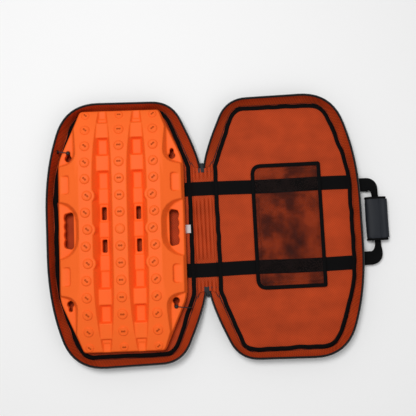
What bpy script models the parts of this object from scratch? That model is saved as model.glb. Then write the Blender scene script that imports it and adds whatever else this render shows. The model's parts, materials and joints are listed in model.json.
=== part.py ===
"""Two nested recovery boards in a zip-round carry case that lies open on the ground.

The tray holds the boards, the lid folds over them on a soft spine with two fold lines, and a padded
handle hangs from the lid's outer edge. X runs from the tray to the lid, Z points up, and the
origin is at the middle of the underside of the tray. Every size is in metres.
"""

import math

import bmesh
import bpy
from mathutils import Matrix, Vector

# Case: one half is drawn by its distance from the middle of the spine (u) and its height on the page (y).
FOLD_U = 0.028  # each fold line's distance from the middle of the spine
FOLD_Z = 0.016  # height of both fold lines
PANEL_FAR_U = 0.402  # the floor panel's far side
PANEL_HALF = 0.330  # half the floor panel's length
PANEL_FOLD_HALF = 0.171  # half the length of its edge along the fold line
PANEL_FAR_HALF = 0.152
PANEL_END_NEAR = 0.060  # how far its end stops short of the fold line
PANEL_END_FAR = 0.062  # and of the far side
WALL_LEAN = 0.014  # how far the rim stands outside the floor panel at its ends
WALL_FAR_LEAN = 0.007
WALL = 0.003
LINING = 0.001
STIFFENER = 0.002
SHELL = 0.0012
BINDING_WIDTH, BINDING = 0.011, 0.0014
ZIP_WIDTH, ZIP = 0.008, 0.002
GAP = 0.0003  # between pieces that are sewn or lie on each other
HALF_MEETING_GAP = 0.001  # between the closed halves

# Boards, drawn about their own centre
BOARD_HALF = 0.319
BOARD_HALF_WIDTH = 0.167
BOARD_END_HALF_WIDTH = 0.106
BOARD_SHOULDER = 0.182
RIDGE_HEIGHT = 0.046
NOSE_HEIGHT = 0.010
NOSE_START = 0.120
SKIN = 0.006  # measured straight down
BOARD_PITCH = 0.014  # between two nested boards
BOARD_X, BOARD_Y = -0.0025, 0.0095
BOARD_TURN = math.radians(-0.8)
BOARD_CLEARANCE = 0.0003
STUD_PITCH, STUD_COLUMN = 0.0437, 0.089
STUD_ROWS = 7  # on each side of the middle row
STUD_RADIUS, STUD_HEIGHT = 0.0105, 0.0045
STUD_SIDES = 6
END_STUD_SHRINK, END_STUD_SHIFT = 0.0010, 0.0025  # the last row of studs clears the board's end
BOSS_RADIUS, BOSS_SHIFT = 0.0195, 0.005
TROUGH_X = 0.045
TROUGH_HALF, TROUGH_FLOOR, TROUGH_END_FLOOR = 0.011, 0.010, 0.007
TROUGH_STRETCHES = (
    (-0.40, 0.40, TROUGH_FLOOR),
    (0.294, 0.41, TROUGH_END_FLOOR),
    (-0.41, -0.294, TROUGH_END_FLOOR),
)
TROUGH_DRAFT = 0.43  # sideways per unit of height
PAD_HEIGHT, PAD_END_HEIGHT, PAD_LOW_HEIGHT = 0.024, 0.019, 0.0135
SHOULDER_X, SHOULDER_HEIGHT = 0.110, 0.042
SIDE_X, SIDE_HEIGHT = 0.160, 0.022
EDGE_DRAFT = 0.35
CORNER_X, CORNER_Y, CORNER_FLOOR = 0.124, 0.205, 0.012
SCOOP_X, SCOOP_HALF, SCOOP_FLOOR = 0.119, 0.074, 0.014
RECESS_X, RECESS_FROM, RECESS_TO, RECESS_FLOOR = 0.134, 0.096, 0.143, 0.024
SLOT_HALF_WIDTH, SLOT_FROM, SLOT_TO = 0.0065, 0.0255, 0.060
GRIP_SLOT_X, GRIP_SLOT_WIDTH, GRIP_SLOT_HALF = 0.138, 0.026, 0.049
SCALLOP_DEPTH, SCALLOPS = 0.003, 4
KEYHOLE_X, KEYHOLE_Y, KEYHOLE_RADIUS = 0.137, 0.191, 0.0095
KEYHOLE_SLOT_END, KEYHOLE_SLOT_RADIUS = 0.206, 0.0055

# Webbing, pocket and label
STRAP_Y, STRAP_WIDTH, STRAP = 0.108, 0.037, 0.0012
STRAP_TRAY_END, STRAP_LID_END = 0.392, 0.392
POCKET_NEAR_U, POCKET_FAR_U, POCKET_HALF, POCKET_CORNER = 0.130, 0.318, 0.168, 0.024
POCKET_BINDING, POCKET_SKIN = 0.010, 0.0008
POCKET_MOUTH = 0.0047  # between the lining and the hem of the mouth
POCKET_SLOPE = 0.014
LABEL_U, LABEL_Y, LABEL_WIDTH, LABEL_LENGTH, LABEL = 0.041, 0.003, 0.020, 0.022, 0.0005

# Handle
HANDLE_U, HANDLE_Z = 0.414, 0.013
HANDLE_WEB_Y, HANDLE_WEB_WIDTH, HANDLE_WEB = 0.098, 0.036, 0.0025
GRIP_U, GRIP_Y, GRIP_LENGTH, GRIP_WIDTH, GRIP_HEIGHT = 0.4585, 0.006, 0.116, 0.057, 0.025
GRIP_END_BINDING, GRIP_BINDING_PROUD = 0.006, 0.0005
FLAP, FLAP_SHARE = 0.0018, 0.61
ANCHOR_HEIGHT = 0.005
HEM_RADIUS = 0.0014  # the webbing's rolled hem, which turns in front of the anchor

# Zip ends and leashes
SLIDER_WIDTH, SLIDER_LENGTH, SLIDER_HEIGHT = 0.009, 0.014, 0.0052
NOTCH_Y, NOTCH_HALF_WIDTH, NOTCH_FLARE = 0.164, 0.007, 0.070
PULLER_WIDTH, PULLER_LENGTH, PULLER = 0.007, 0.022, 0.0014
TAB_WIDTH, TAB_OUTER_WIDTH, TAB_LENGTH, TAB = 0.024, 0.014, 0.024, 0.0014
SPINE_PANEL_Z, SPINE_PANEL = 0.0055, 0.003
BALL_RADIUS, CORD_RADIUS = 0.0051, 0.00125
LOOP_WIDTH, LOOP_THICKNESS, LOOP_HEIGHT = 0.010, 0.004, 0.005

# Heights that follow
LINING_TOP = SHELL + STIFFENER + LINING + 2 * GAP
STRAP_Z = LINING_TOP + GAP
BINDING_Z = STRAP_Z + STRAP + GAP
BOARD_Z = BINDING_Z + BINDING + BOARD_CLEARANCE
CLOSED_DEPTH = 2 * FOLD_U + 2 * FOLD_Z
RIM_Z = (CLOSED_DEPTH - HALF_MEETING_GAP) / 2
WALL_TOP = RIM_Z - ZIP - GAP
SPINE_X = PANEL_FAR_U - (PANEL_FAR_U - FOLD_U) / 2
SPINE_TOP = SPINE_PANEL_Z + SPINE_PANEL + GAP + LINING

COLOURS = {
    "moulded_orange": ((0.93, 0.16, 0.03), 0.5, 0.0),
    "lining_rust": ((0.42, 0.045, 0.018), 0.7, 0.0),
    "shell_black": ((0.012, 0.012, 0.013), 0.75, 0.0),
    "webbing_black": ((0.006, 0.006, 0.007), 0.8, 0.0),
    "mesh_dark": ((0.05, 0.02, 0.015), 0.8, 0.0),
    "grip_slate": ((0.018, 0.021, 0.028), 0.65, 0.0),
    "foam_board": ((0.5, 0.5, 0.48), 0.8, 0.0),
    "label_white": ((0.6, 0.58, 0.58), 0.7, 0.0),
    "zip_metal": ((0.03, 0.03, 0.03), 0.35, 1.0),
    "cord_black": ((0.008, 0.008, 0.008), 0.7, 0.0),
}


def clear_scene():
    for obj in list(bpy.data.objects):
        bpy.data.objects.remove(obj, do_unlink=True)


def material(name):
    found = bpy.data.materials.get(name)
    if found:
        return found
    colour, roughness, metallic = COLOURS[name]
    made = bpy.data.materials.new(name)
    made.use_nodes = True
    shader = made.node_tree.nodes["Principled BSDF"]
    shader.inputs["Base Color"].default_value = (*colour, 1)
    shader.inputs["Roughness"].default_value = roughness
    shader.inputs["Metallic"].default_value = metallic
    made.diffuse_color = (*colour, 1)
    return made


def empty(name, place, parent=None, turn=0.0):
    made = bpy.data.objects.new(name, None)
    made.empty_display_size = 0.03
    made.location = Vector(place) - (parent.matrix_world.translation if parent else Vector())
    made.rotation_euler.z = turn
    made.parent = parent
    bpy.context.scene.collection.objects.link(made)
    bpy.context.view_layer.update()
    return made


def add_solid(name, bm, skin, parent, smooth=None):
    """The mesh, drawn in world places, as an object of its own under its parent empty."""
    bmesh.ops.recalc_face_normals(bm, faces=bm.faces)
    bmesh.ops.transform(bm, matrix=parent.matrix_world.inverted(), verts=bm.verts)
    mesh = bpy.data.meshes.new(name)
    bm.to_mesh(mesh)
    bm.free()
    if smooth is not None:
        mesh.shade_smooth()
        mesh.set_sharp_from_angle(angle=math.radians(smooth))
    mesh.materials.append(material(skin))
    obj = bpy.data.objects.new(name, mesh)
    obj.parent = parent
    bpy.context.scene.collection.objects.link(obj)
    return obj


def rounded(corners, steps=5):
    """A closed outline through corners (x, y, radius), with an arc of a few steps at each rounded one."""
    points = []
    for i, (x, y, radius) in enumerate(corners):
        here = Vector((x, y))
        back = (Vector(corners[i - 1][:2]) - here).normalized()
        ahead = (Vector(corners[(i + 1) % len(corners)][:2]) - here).normalized()
        if radius <= 0:
            points.append(here)
            continue
        half = back.angle(ahead) / 2
        reach = radius / math.tan(half)
        centre = here + (back + ahead).normalized() * radius / math.sin(half)
        start, end = here + back * reach - centre, here + ahead * reach - centre
        turn = start.angle_signed(end)
        for k in range(steps + 1):
            points.append(centre + Matrix.Rotation(-turn * k / steps, 2) @ start)
    return points


def inset_line(points, inset, closed=True):
    """The outline moved sideways, to the left of its direction."""
    moved = []
    for i, here in enumerate(points):
        before = points[i - 1] if closed or i else here
        after = points[(i + 1) % len(points)] if closed or i + 1 < len(points) else here
        first = (here - before).normalized() if (here - before).length > 1e-7 else None
        second = (after - here).normalized() if (after - here).length > 1e-7 else None
        first, second = first or second, second or first
        normal = Vector((-first.y - second.y, first.x + second.x)).normalized()
        stretch = 1 / max(0.5, normal.dot(Vector((-first.y, first.x))))
        moved.append(here + normal * inset * stretch)
    return moved


def grown(corners, grow, steps):
    """The rounded outline through corners that have moved outwards, for a left-turning outline."""
    moved = inset_line([Vector(c[:2]) for c in corners], -grow)
    radii = [max(c[2] + grow, 0.003) if c[2] else 0 for c in corners]
    return rounded([(p.x, p.y, radius) for p, radius in zip(moved, radii)], steps)


def prism(bm, outline, low, high, top_outline=None):
    """A solid between two outlines of as many points, at heights low and high."""
    bottom = [bm.verts.new((p[0], p[1], low)) for p in outline]
    top = [bm.verts.new((p[0], p[1], high)) for p in top_outline or outline]
    bm.faces.new(bottom[::-1])
    bm.faces.new(top)
    for i in range(len(bottom)):
        j = (i + 1) % len(bottom)
        bm.faces.new((bottom[i], bottom[j], top[j], top[i]))


def swept(bm, sections, closed):
    """Joins closed cross-sections of as many points into one solid, as a ring or with flat ends.

    A twisted side is split from its low corner to the next section's high one, so that nested walls match.
    """
    rings = [[bm.verts.new(p) for p in section] for section in sections]
    pairs = list(zip(rings, rings[1:]))
    if closed:
        pairs.append((rings[-1], rings[0]))
    else:
        bm.faces.new(rings[0][::-1])
        bm.faces.new(rings[-1])
    for a, b in pairs:
        for i in range(len(a)):
            j = (i + 1) % len(a)
            if abs(a[i].co.z - a[j].co.z) < 1e-7:
                bm.faces.new((a[i], a[j], b[j], b[i]))
            elif a[i].co.z < a[j].co.z:
                bm.faces.new((a[i], a[j], b[j]))
                bm.faces.new((a[i], b[j], b[i]))
            else:
                bm.faces.new((a[i], a[j], b[i]))
                bm.faces.new((a[j], b[j], b[i]))


def box_outline(low_x, high_x, low_y, high_y):
    return [Vector(p) for p in ((low_x, low_y), (high_x, low_y), (high_x, high_y), (low_x, high_y))]


def apply_boolean(target, other, operation):
    """Cuts or joins with a helper object, keeps the result as the mesh and removes the helper."""
    modifier = target.modifiers.new("cut", "BOOLEAN")
    modifier.operation = operation
    modifier.object = other
    modifier.solver = "EXACT"
    modifier.use_self = operation == "UNION"
    graph = bpy.context.evaluated_depsgraph_get()
    made = bpy.data.meshes.new_from_object(target.evaluated_get(graph))
    target.modifiers.clear()
    old, target.data = target.data, made
    bpy.data.meshes.remove(old)
    bpy.data.meshes.remove(other.data)


def helper(bm):
    """A short-lived object for a Boolean, drawn at the world origin."""
    bmesh.ops.recalc_face_normals(bm, faces=bm.faces)
    mesh = bpy.data.meshes.new("helper")
    bm.to_mesh(mesh)
    bm.free()
    obj = bpy.data.objects.new("helper", mesh)
    bpy.context.scene.collection.objects.link(obj)
    return obj


# Case halves


def half_corners(grow_far=0.0):
    """Corners of the floor panel's upper half in u and y, from the fold line outwards."""
    return [
        (FOLD_U, PANEL_FOLD_HALF, 0.012),
        (FOLD_U + PANEL_END_NEAR, PANEL_HALF, 0.030),
        (PANEL_FAR_U - PANEL_END_FAR, PANEL_HALF, 0.030),
        (PANEL_FAR_U + grow_far, PANEL_FAR_HALF, 0.120),
    ]


def panel_outline():
    """The floor panel's closed outline: up the fold line, round the far side and back."""
    upper = half_corners()
    lower = [(u, -y, radius) for u, y, radius in reversed(upper)]
    return rounded(upper + lower)


WALL_START = 0.020  # the wall starts this far along the panel's slanting edge, clear of the fold line
WALL_SIDE_GAP = 0.0065
WALL_STRETCH = 0.040  # the longest stretch of the wall between two cross-sections


def wall_corners():
    """Floor and rim corners of the wall's upper half, one for one."""
    slant = Vector((PANEL_END_NEAR, PANEL_HALF - PANEL_FOLD_HALF)).normalized()
    start = Vector((FOLD_U, PANEL_FOLD_HALF)) + slant * WALL_START
    floor = [(start.x, start.y, 0)] + half_corners()[1:]
    end_u = FOLD_U + PANEL_END_NEAR
    rim = [
        (max(start.x, FOLD_U + WALL_SIDE_GAP + WALL), start.y + 0.002, 0),
        (end_u - WALL_LEAN * 0.9, PANEL_HALF + WALL_LEAN * 0.7, 0.050),
        (PANEL_FAR_U - PANEL_END_FAR + WALL_LEAN * 0.9, PANEL_HALF + WALL_LEAN, 0.085),
        (PANEL_FAR_U + WALL_FAR_LEAN, PANEL_FAR_HALF + 0.012, 0.330),
    ]
    return floor, rim


def wall_lines():
    """The wall's foot and rim as open lines with as many points, from one end of the spine to the other."""
    lines = []
    for corners in wall_corners():
        lower = [(u, -y, radius) for u, y, radius in reversed(corners)]
        lines.append(rounded(corners + lower, steps=6))
    foot, rim = [lines[0][0]], [lines[1][0]]
    for i in range(1, len(lines[0])):
        steps = math.ceil(max((line[i] - line[i - 1]).length for line in lines) / WALL_STRETCH)
        for k in range(1, steps + 1):
            foot.append(lines[0][i - 1].lerp(lines[0][i], k / steps))
            rim.append(lines[1][i - 1].lerp(lines[1][i], k / steps))
    return foot, rim


def wall_line(share):
    """The inner face of the wall at a share of its height, bowed outwards between foot and rim."""
    foot, rim = wall_lines()
    across = 1 - (1 - share) ** 1.35
    return [a.lerp(b, across) for a, b in zip(foot, rim)]


def wall_height(share):
    return LINING_TOP - LINING + share * (WALL_TOP - LINING_TOP + LINING)


def to_world(points, side):
    """From u and y to X and Y: side is -1 for the tray and 1 for the lid."""
    return [Vector((SPINE_X + side * p.x, p.y)) for p in points]


def clipped(points):
    """Keeps an outline that has grown sideways off the fold line."""
    return [Vector((max(p.x, FOLD_U + GAP), p.y)) for p in points]


def build_floor(name, side, parent):
    outline = panel_outline()
    grown = to_world(clipped(inset_line(outline, WALL + GAP)), side)
    inner = to_world(clipped(inset_line(outline, -GAP)), side)
    layers = (
        ("outer_panel", grown, 0.0, SHELL, "shell_black"),
        ("stiffener", grown, SHELL + GAP, SHELL + GAP + STIFFENER, "foam_board"),
        ("floor_lining", inner, LINING_TOP - LINING, LINING_TOP, "lining_rust"),
    )
    for layer, line, low, high, skin in layers:
        bm = bmesh.new()
        prism(bm, line, low, high)
        add_solid(f"{name}_{layer}", bm, skin, parent)


def build_wall(name, side, parent):
    shares = (0.0, 0.5, 1.0)
    inner = [to_world(wall_line(s), side) for s in shares]
    outer = [to_world(inset_line(wall_line(s), WALL, closed=False), side) for s in shares]
    heights = [wall_height(s) for s in shares]
    sections = []
    for i in range(len(inner[0])):
        face = [(*line[i], z) for line, z in zip(inner, heights)]
        back = [(*line[i], z) for line, z in zip(outer, heights)]
        sections.append(face + back[::-1])
    bm = bmesh.new()
    swept(bm, sections, closed=False)
    add_solid(f"{name}_wall", bm, "shell_black", parent)


def build_wall_lining(name, side, parent):
    shares = (0.0, 0.5, 1.0)
    near = [to_world(inset_line(wall_line(s), -GAP, closed=False), side) for s in shares]
    far = [to_world(inset_line(wall_line(s), -GAP - LINING, closed=False), side) for s in shares]
    low = LINING_TOP + GAP
    heights = [low + s * (WALL_TOP - low) for s in shares]
    sections = []
    for i in range(len(near[0])):
        face = [(*line[i], z) for line, z in zip(near, heights)]
        back = [(*line[i], z) for line, z in zip(far, heights)]
        sections.append(face + back[::-1])
    bm = bmesh.new()
    swept(bm, sections, closed=False)
    add_solid(f"{name}_wall_lining", bm, "lining_rust", parent)


def ring_sections(outer, inner, low, high):
    return [((*a, low), (*b, low), (*b, high), (*a, high)) for a, b in zip(outer, inner)]


def build_floor_binding(name, side, parent):
    outline = panel_outline()
    outer = to_world(inset_line(outline, -LINING - 2 * GAP), side)
    inner = to_world(inset_line(outline, -LINING - 2 * GAP - BINDING_WIDTH), side)
    bm = bmesh.new()
    swept(bm, ring_sections(outer, inner, BINDING_Z, BINDING_Z + BINDING), closed=True)
    add_solid(f"{name}_floor_binding", bm, "webbing_black", parent)


def build_zip(name, side, parent):
    rim = wall_line(1.0)
    outer = to_world(inset_line(rim, WALL / 2 + ZIP_WIDTH / 2, closed=False), side)
    inner = to_world(inset_line(rim, WALL / 2 - ZIP_WIDTH / 2, closed=False), side)
    bm = bmesh.new()
    swept(bm, ring_sections(outer, inner, RIM_Z - ZIP, RIM_Z), closed=False)
    add_solid(f"{name}_zip", bm, "webbing_black", parent)


def build_half(name, side, parent):
    build_floor(name, side, parent)
    build_wall(name, side, parent)
    build_wall_lining(name, side, parent)
    build_floor_binding(name, side, parent)
    build_zip(name, side, parent)


def add_slab(name, low, high, skin, parent):
    bm = bmesh.new()
    prism(bm, box_outline(low[0], high[0], low[1], high[1]), low[2], high[2])
    return add_solid(name, bm, skin, parent)


STRAPS = (("upper", 1), ("lower", -1))


def build_straps(parents):
    low_z = {"tray": STRAP_Z, "spine": SPINE_TOP + GAP, "lid": STRAP_Z}
    spans = {
        "tray": (SPINE_X - STRAP_TRAY_END, SPINE_X - FOLD_U - GAP),
        "spine": (SPINE_X - FOLD_U + 2 * GAP, SPINE_X + FOLD_U - 2 * GAP),
        "lid": (SPINE_X + FOLD_U + GAP, SPINE_X + STRAP_LID_END),
    }
    for place, (start, end) in spans.items():
        for level, sign in STRAPS:
            low = (start, sign * STRAP_Y - STRAP_WIDTH / 2, low_z[place])
            high = (end, sign * STRAP_Y + STRAP_WIDTH / 2, low_z[place] + STRAP)
            add_slab(f"{place}_strap_{level}", low, high, "webbing_black", parents[place])


# Spine


def spine_outline(inset):
    """The spine panel: straight along both fold lines, with a notch at each end where the zip starts."""
    half = FOLD_U - 2 * GAP - inset
    reach = NOTCH_Y + NOTCH_FLARE - 2 * inset
    tip = NOTCH_Y - inset
    upper = [(half, reach), (NOTCH_HALF_WIDTH, tip), (-NOTCH_HALF_WIDTH, tip), (-half, reach)]
    lower = [(-x, -y) for x, y in upper]
    return [Vector((SPINE_X + x, y)) for x, y in upper + lower]


def build_spine(parent):
    top = SPINE_PANEL_Z + SPINE_PANEL
    bm = bmesh.new()
    prism(bm, spine_outline(0), SPINE_PANEL_Z, top)
    add_solid("spine_panel", bm, "shell_black", parent)
    bm = bmesh.new()
    prism(bm, spine_outline(0.001), top + GAP, top + GAP + LINING)
    add_solid("spine_lining", bm, "lining_rust", parent)


SLIDER_Y = NOTCH_Y + GAP + SLIDER_LENGTH / 2
SLIDER_Z = SPINE_PANEL_Z + 0.001
TAB_Z = SLIDER_Z + SLIDER_HEIGHT + 2 * GAP
PIVOT_Z = SLIDER_Z - 0.0022


def build_end_tab(level, sign, parent):
    """The fabric tab that covers the parked slider: a plate with a sewn root on the spine's lining."""
    root_low = SPINE_TOP + GAP
    seam = sign * (NOTCH_Y - 0.002)
    inner = seam - sign * 0.010
    outer = inner + sign * TAB_LENGTH
    bm = bmesh.new()
    top = TAB_Z + TAB
    underside = ((inner, root_low), (seam, root_low), (seam, TAB_Z), (outer, TAB_Z))
    side_view = (*underside, (outer, top), (inner, top))
    sections = []
    for share in (-1, 1):
        widths = [TAB_WIDTH if y != outer else TAB_OUTER_WIDTH for y, _ in side_view]
        sections.append([(SPINE_X + share * w / 2, y, z) for w, (y, z) in zip(widths, side_view)])
    swept(bm, sections, closed=False)
    add_solid(f"spine_end_tab_{level}", bm, "grip_slate", parent)


def build_slider(level, sign, slider, puller):
    """The zip slider, waisted between its two plates, and the flat puller that hangs from its bail."""
    x, y = SPINE_X, sign * SLIDER_Y
    nose = y + sign * SLIDER_LENGTH / 2
    back = y - sign * SLIDER_LENGTH / 2
    w = SLIDER_WIDTH / 2
    half_outline = [(w, nose), (w, y), (w * 0.6, back)]
    outline = [Vector((x - a, b)) for a, b in half_outline]
    outline += [Vector((x + a, b)) for a, b in reversed(half_outline)]
    bm = bmesh.new()
    prism(bm, outline, SLIDER_Z, SLIDER_Z + SLIDER_HEIGHT)
    slider_obj = add_solid(f"zip_slider_{level}", bm, "zip_metal", slider)
    bail = bmesh.new()
    for side in (-1, 1):
        cheek = x + side * 0.0022
        low_y, high_y = sorted((y - 0.0022, y + 0.0022))
        plate = box_outline(cheek - 0.0006, cheek + 0.0006, low_y, high_y)
        prism(bail, plate, PIVOT_Z - 0.0012, SLIDER_Z + 0.001)
    bmesh.ops.transform(bail, matrix=slider.matrix_world.inverted(), verts=bail.verts)
    apply_boolean(slider_obj, helper_in(bail, slider), "UNION")
    pin_reach = 0.0014
    tongue = 0.0012
    bm = bmesh.new()
    root = y + sign * tongue
    neck = y - sign * 0.0042
    tip = y - sign * PULLER_LENGTH
    half = PULLER_WIDTH / 2
    ease = sign * 0.002
    half_outline = [(pin_reach, root), (pin_reach, neck), (half, neck - ease)]
    half_outline += [(half, tip + ease), (half / 2, tip)]
    outline = [Vector((x - a, b)) for a, b in half_outline]
    outline += [Vector((x + a, b)) for a, b in reversed(half_outline)]
    prism(bm, outline, PIVOT_Z - PULLER / 2, PIVOT_Z + PULLER / 2)
    add_solid(f"zip_puller_{level}", bm, "zip_metal", puller)


def helper_in(bm, parent):
    """A helper drawn in its parent's own frame, for a Boolean with a piece under that parent."""
    made = helper(bm)
    made.matrix_world = parent.matrix_world.copy()
    return made


# Lid furniture


def pocket_outline(inset):
    near, far, half = POCKET_NEAR_U + inset, POCKET_FAR_U - inset, POCKET_HALF - inset
    radius = max(POCKET_CORNER - inset, 0.004)
    corners = [(near, half, radius), (near, -half, radius), (far, -half, 0), (far, half, 0)]
    return to_world(rounded(corners, steps=4), 1)


def pocket_lift(point, inset):
    """The mouth stands open by this share: 0 along the sewn edges, 1 along the hem."""
    mouth = SPINE_X + POCKET_FAR_U
    return max(0.0, 1 - max(0.0, mouth - inset - point.x) / 0.030)


def build_pocket(parent):
    sewn_z, hem_z = BINDING_Z, LINING_TOP + POCKET_MOUTH
    outer, inner = pocket_outline(0), pocket_outline(POCKET_BINDING)
    sections = []
    for a, b in zip(outer, inner):
        low_a = sewn_z + (hem_z - sewn_z) * pocket_lift(a, 0)
        low_b = sewn_z + (hem_z - sewn_z) * pocket_lift(b, POCKET_BINDING)
        sections.append(((*a, low_a), (*b, low_b), (*b, low_b + BINDING), (*a, low_a + BINDING)))
    bm = bmesh.new()
    swept(bm, sections, closed=True)
    add_solid("pocket_binding", bm, "webbing_black", parent)

    rim = pocket_outline(POCKET_BINDING + GAP)
    crown = pocket_outline(POCKET_BINDING + POCKET_SLOPE)
    far = max(p.x for p in rim)
    bm = bmesh.new()
    outer_verts = []
    for p in rim:
        z = sewn_z + (hem_z - sewn_z) * pocket_lift(p, POCKET_BINDING) + POCKET_SKIN + 2 * GAP
        outer_verts.append(bm.verts.new((p.x, p.y, z)))
    crown_z = hem_z + POCKET_SKIN + 2 * GAP
    crown_verts = []
    for p in crown:
        x = far if p.x > max(q.x for q in crown) - 1e-6 else p.x
        crown_verts.append(bm.verts.new((x, p.y, crown_z)))
    count = len(rim)
    bm.faces.new(crown_verts)
    for i in range(count):
        j = (i + 1) % count
        if crown_verts[i].co.x < far - 1e-6 or crown_verts[j].co.x < far - 1e-6:
            bm.faces.new((outer_verts[i], outer_verts[j], crown_verts[j], crown_verts[i]))
    panel = add_solid("mesh_pocket", bm, "mesh_dark", parent)
    if panel.data.polygons[0].normal.z < 0:
        panel.data.flip_normals()
    thickness = panel.modifiers.new("skin", "SOLIDIFY")
    thickness.thickness = POCKET_SKIN
    thickness.offset = -1


def build_label(parent):
    far = SPINE_X - FOLD_U - LABEL_U + 0.028
    low = (far - LABEL_WIDTH, LABEL_Y - LABEL_LENGTH / 2, STRAP_Z)
    high = (far, LABEL_Y + LABEL_LENGTH / 2, STRAP_Z + LABEL)
    add_slab("care_label", low, high, "label_white", parent)


# Handle


def rounded_box(half_width, half_height, radius, steps=3):
    corners = [
        (half_width, half_height, radius),
        (-half_width, half_height, radius),
        (-half_width, -half_height, radius),
        (half_width, -half_height, radius),
    ]
    return rounded(corners, steps)


def build_handle(parent, flap_parent):
    x0, xg = SPINE_X + HANDLE_U, SPINE_X + GRIP_U
    half = HANDLE_WEB_WIDTH / 2
    outer_x, inner_x = xg + half, xg - half
    outer_y, inner_y = HANDLE_WEB_Y + half, HANDLE_WEB_Y - half
    band = [
        (x0, outer_y, 0),
        (outer_x, outer_y, 0.030),
        (outer_x, -outer_y, 0.030),
        (x0, -outer_y, 0),
        (x0, -inner_y, 0),
        (inner_x, -inner_y, 0.006),
        (inner_x, inner_y, 0.006),
        (x0, inner_y, 0),
    ]
    bm = bmesh.new()
    prism(bm, rounded(band, steps=5), HANDLE_Z - HANDLE_WEB / 2, HANDLE_Z + HANDLE_WEB / 2)
    webbing = add_solid("handle_webbing", bm, "webbing_black", parent)
    for _, sign in STRAPS:
        hem = bmesh.new()
        middle = sign * HANDLE_WEB_Y
        circle = [(HEM_RADIUS * math.cos(a), HEM_RADIUS * math.sin(a)) for a in turn_angles(16)]
        ends = [middle - half + 0.0005, middle + half - 0.0005]
        swept(hem, [[(x0 + x, y, HANDLE_Z + z) for x, z in circle] for y in ends], closed=False)
        apply_boolean(webbing, helper(hem), "UNION")

    slot = rounded_box(half + 0.001, HANDLE_WEB / 2 + 0.0006, 0.0006)
    start, end = GRIP_Y - GRIP_LENGTH / 2, GRIP_Y + GRIP_LENGTH / 2
    pad = rounded_box(GRIP_WIDTH / 2, GRIP_HEIGHT / 2, 0.0105)
    bind = rounded_box(GRIP_WIDTH / 2 + GRIP_BINDING_PROUD, GRIP_HEIGHT / 2 + GRIP_BINDING_PROUD, 0.011)
    pieces = (
        ("grip_pad", pad, start + GRIP_END_BINDING + GAP, end - GRIP_END_BINDING - GAP, "grip_slate"),
        ("grip_binding_lower", bind, start, start + GRIP_END_BINDING, "webbing_black"),
        ("grip_binding_upper", bind, end - GRIP_END_BINDING, end, "webbing_black"),
    )
    for name, line, low_y, high_y, skin in pieces:
        bm = bmesh.new()
        tube(bm, line, slot, xg, HANDLE_Z, low_y, high_y)
        add_solid(name, bm, skin, parent, smooth=40)
    build_flap(xg, start, end, flap_parent)


def tube(bm, outside, hole, x, z, low_y, high_y):
    """A straight sleeve along Y between two outlines of as many points."""
    sections = []
    for a, b in zip(outside, hole):
        corners = ((a, low_y), (b, low_y), (b, high_y), (a, high_y))
        sections.append([(x + p.x, y, z + p.y) for p, y in corners])
    swept(bm, sections, closed=True)


def build_flap(xg, start, end, parent):
    """The hook-and-loop flap: it follows the pad's outer side and top up to its free edge."""
    side, top = GRIP_WIDTH / 2 + GAP, GRIP_HEIGHT / 2 + GAP
    bend = 0.0105
    wide = bend + FLAP
    free = (FLAP_SHARE - 0.5) * GRIP_WIDTH
    arc = [k * math.pi / 2 / 4 for k in range(5)]
    near = [(side, 0.0)]
    near += [(side - bend + bend * math.cos(a), top - bend + bend * math.sin(a)) for a in arc]
    near += [(free, top)]
    far = [(side + FLAP, 0.0)]
    far += [(side - bend + wide * math.cos(a), top - bend + wide * math.sin(a)) for a in arc]
    far += [(free, top + FLAP)]
    line = near + far[::-1]
    low_y, high_y = start + GRIP_END_BINDING + 2 * GAP, end - GRIP_END_BINDING - 2 * GAP
    sections = [[(xg + x, y, HANDLE_Z + z) for x, z in line] for y in (low_y, high_y)]
    bm = bmesh.new()
    swept(bm, sections, closed=False)
    add_solid("grip_flap", bm, "grip_slate", parent, smooth=40)


def wall_face_u(z):
    """How far out the wall's outer face stands beside the handle at height z."""
    share = (z - wall_height(0)) / (WALL_TOP - wall_height(0))
    return max(p.x for p in wall_line(share)) + WALL


def build_anchors(parent):
    """Each end of the handle is sewn to the lid's wall by a folded piece of webbing."""
    low, high = HANDLE_Z - ANCHOR_HEIGHT / 2, HANDLE_Z + ANCHOR_HEIGHT / 2
    far = SPINE_X + HANDLE_U - HEM_RADIUS - GAP
    for level, sign in STRAPS:
        mid = sign * HANDLE_WEB_Y
        near_low, near_high = SPINE_X + wall_face_u(low) + 0.0005, SPINE_X + wall_face_u(high) + 0.0005
        line = ((near_low, low), (far, low), (far, high), (near_high, high))
        half = HANDLE_WEB_WIDTH / 2 + 0.002
        bm = bmesh.new()
        swept(bm, [[(x, mid + s * half, z) for x, z in line] for s in (-1, 1)], closed=False)
        add_solid(f"handle_anchor_{level}", bm, "webbing_black", parent)


# Boards


def ridge_height(y):
    """The line along the top of the ridges, level in the middle and falling towards both noses."""
    beyond = max(0.0, abs(y) - NOSE_START) / (BOARD_HALF - NOSE_START)
    return RIDGE_HEIGHT - (RIDGE_HEIGHT - NOSE_HEIGHT) * min(beyond, 1.1) ** 2


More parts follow.
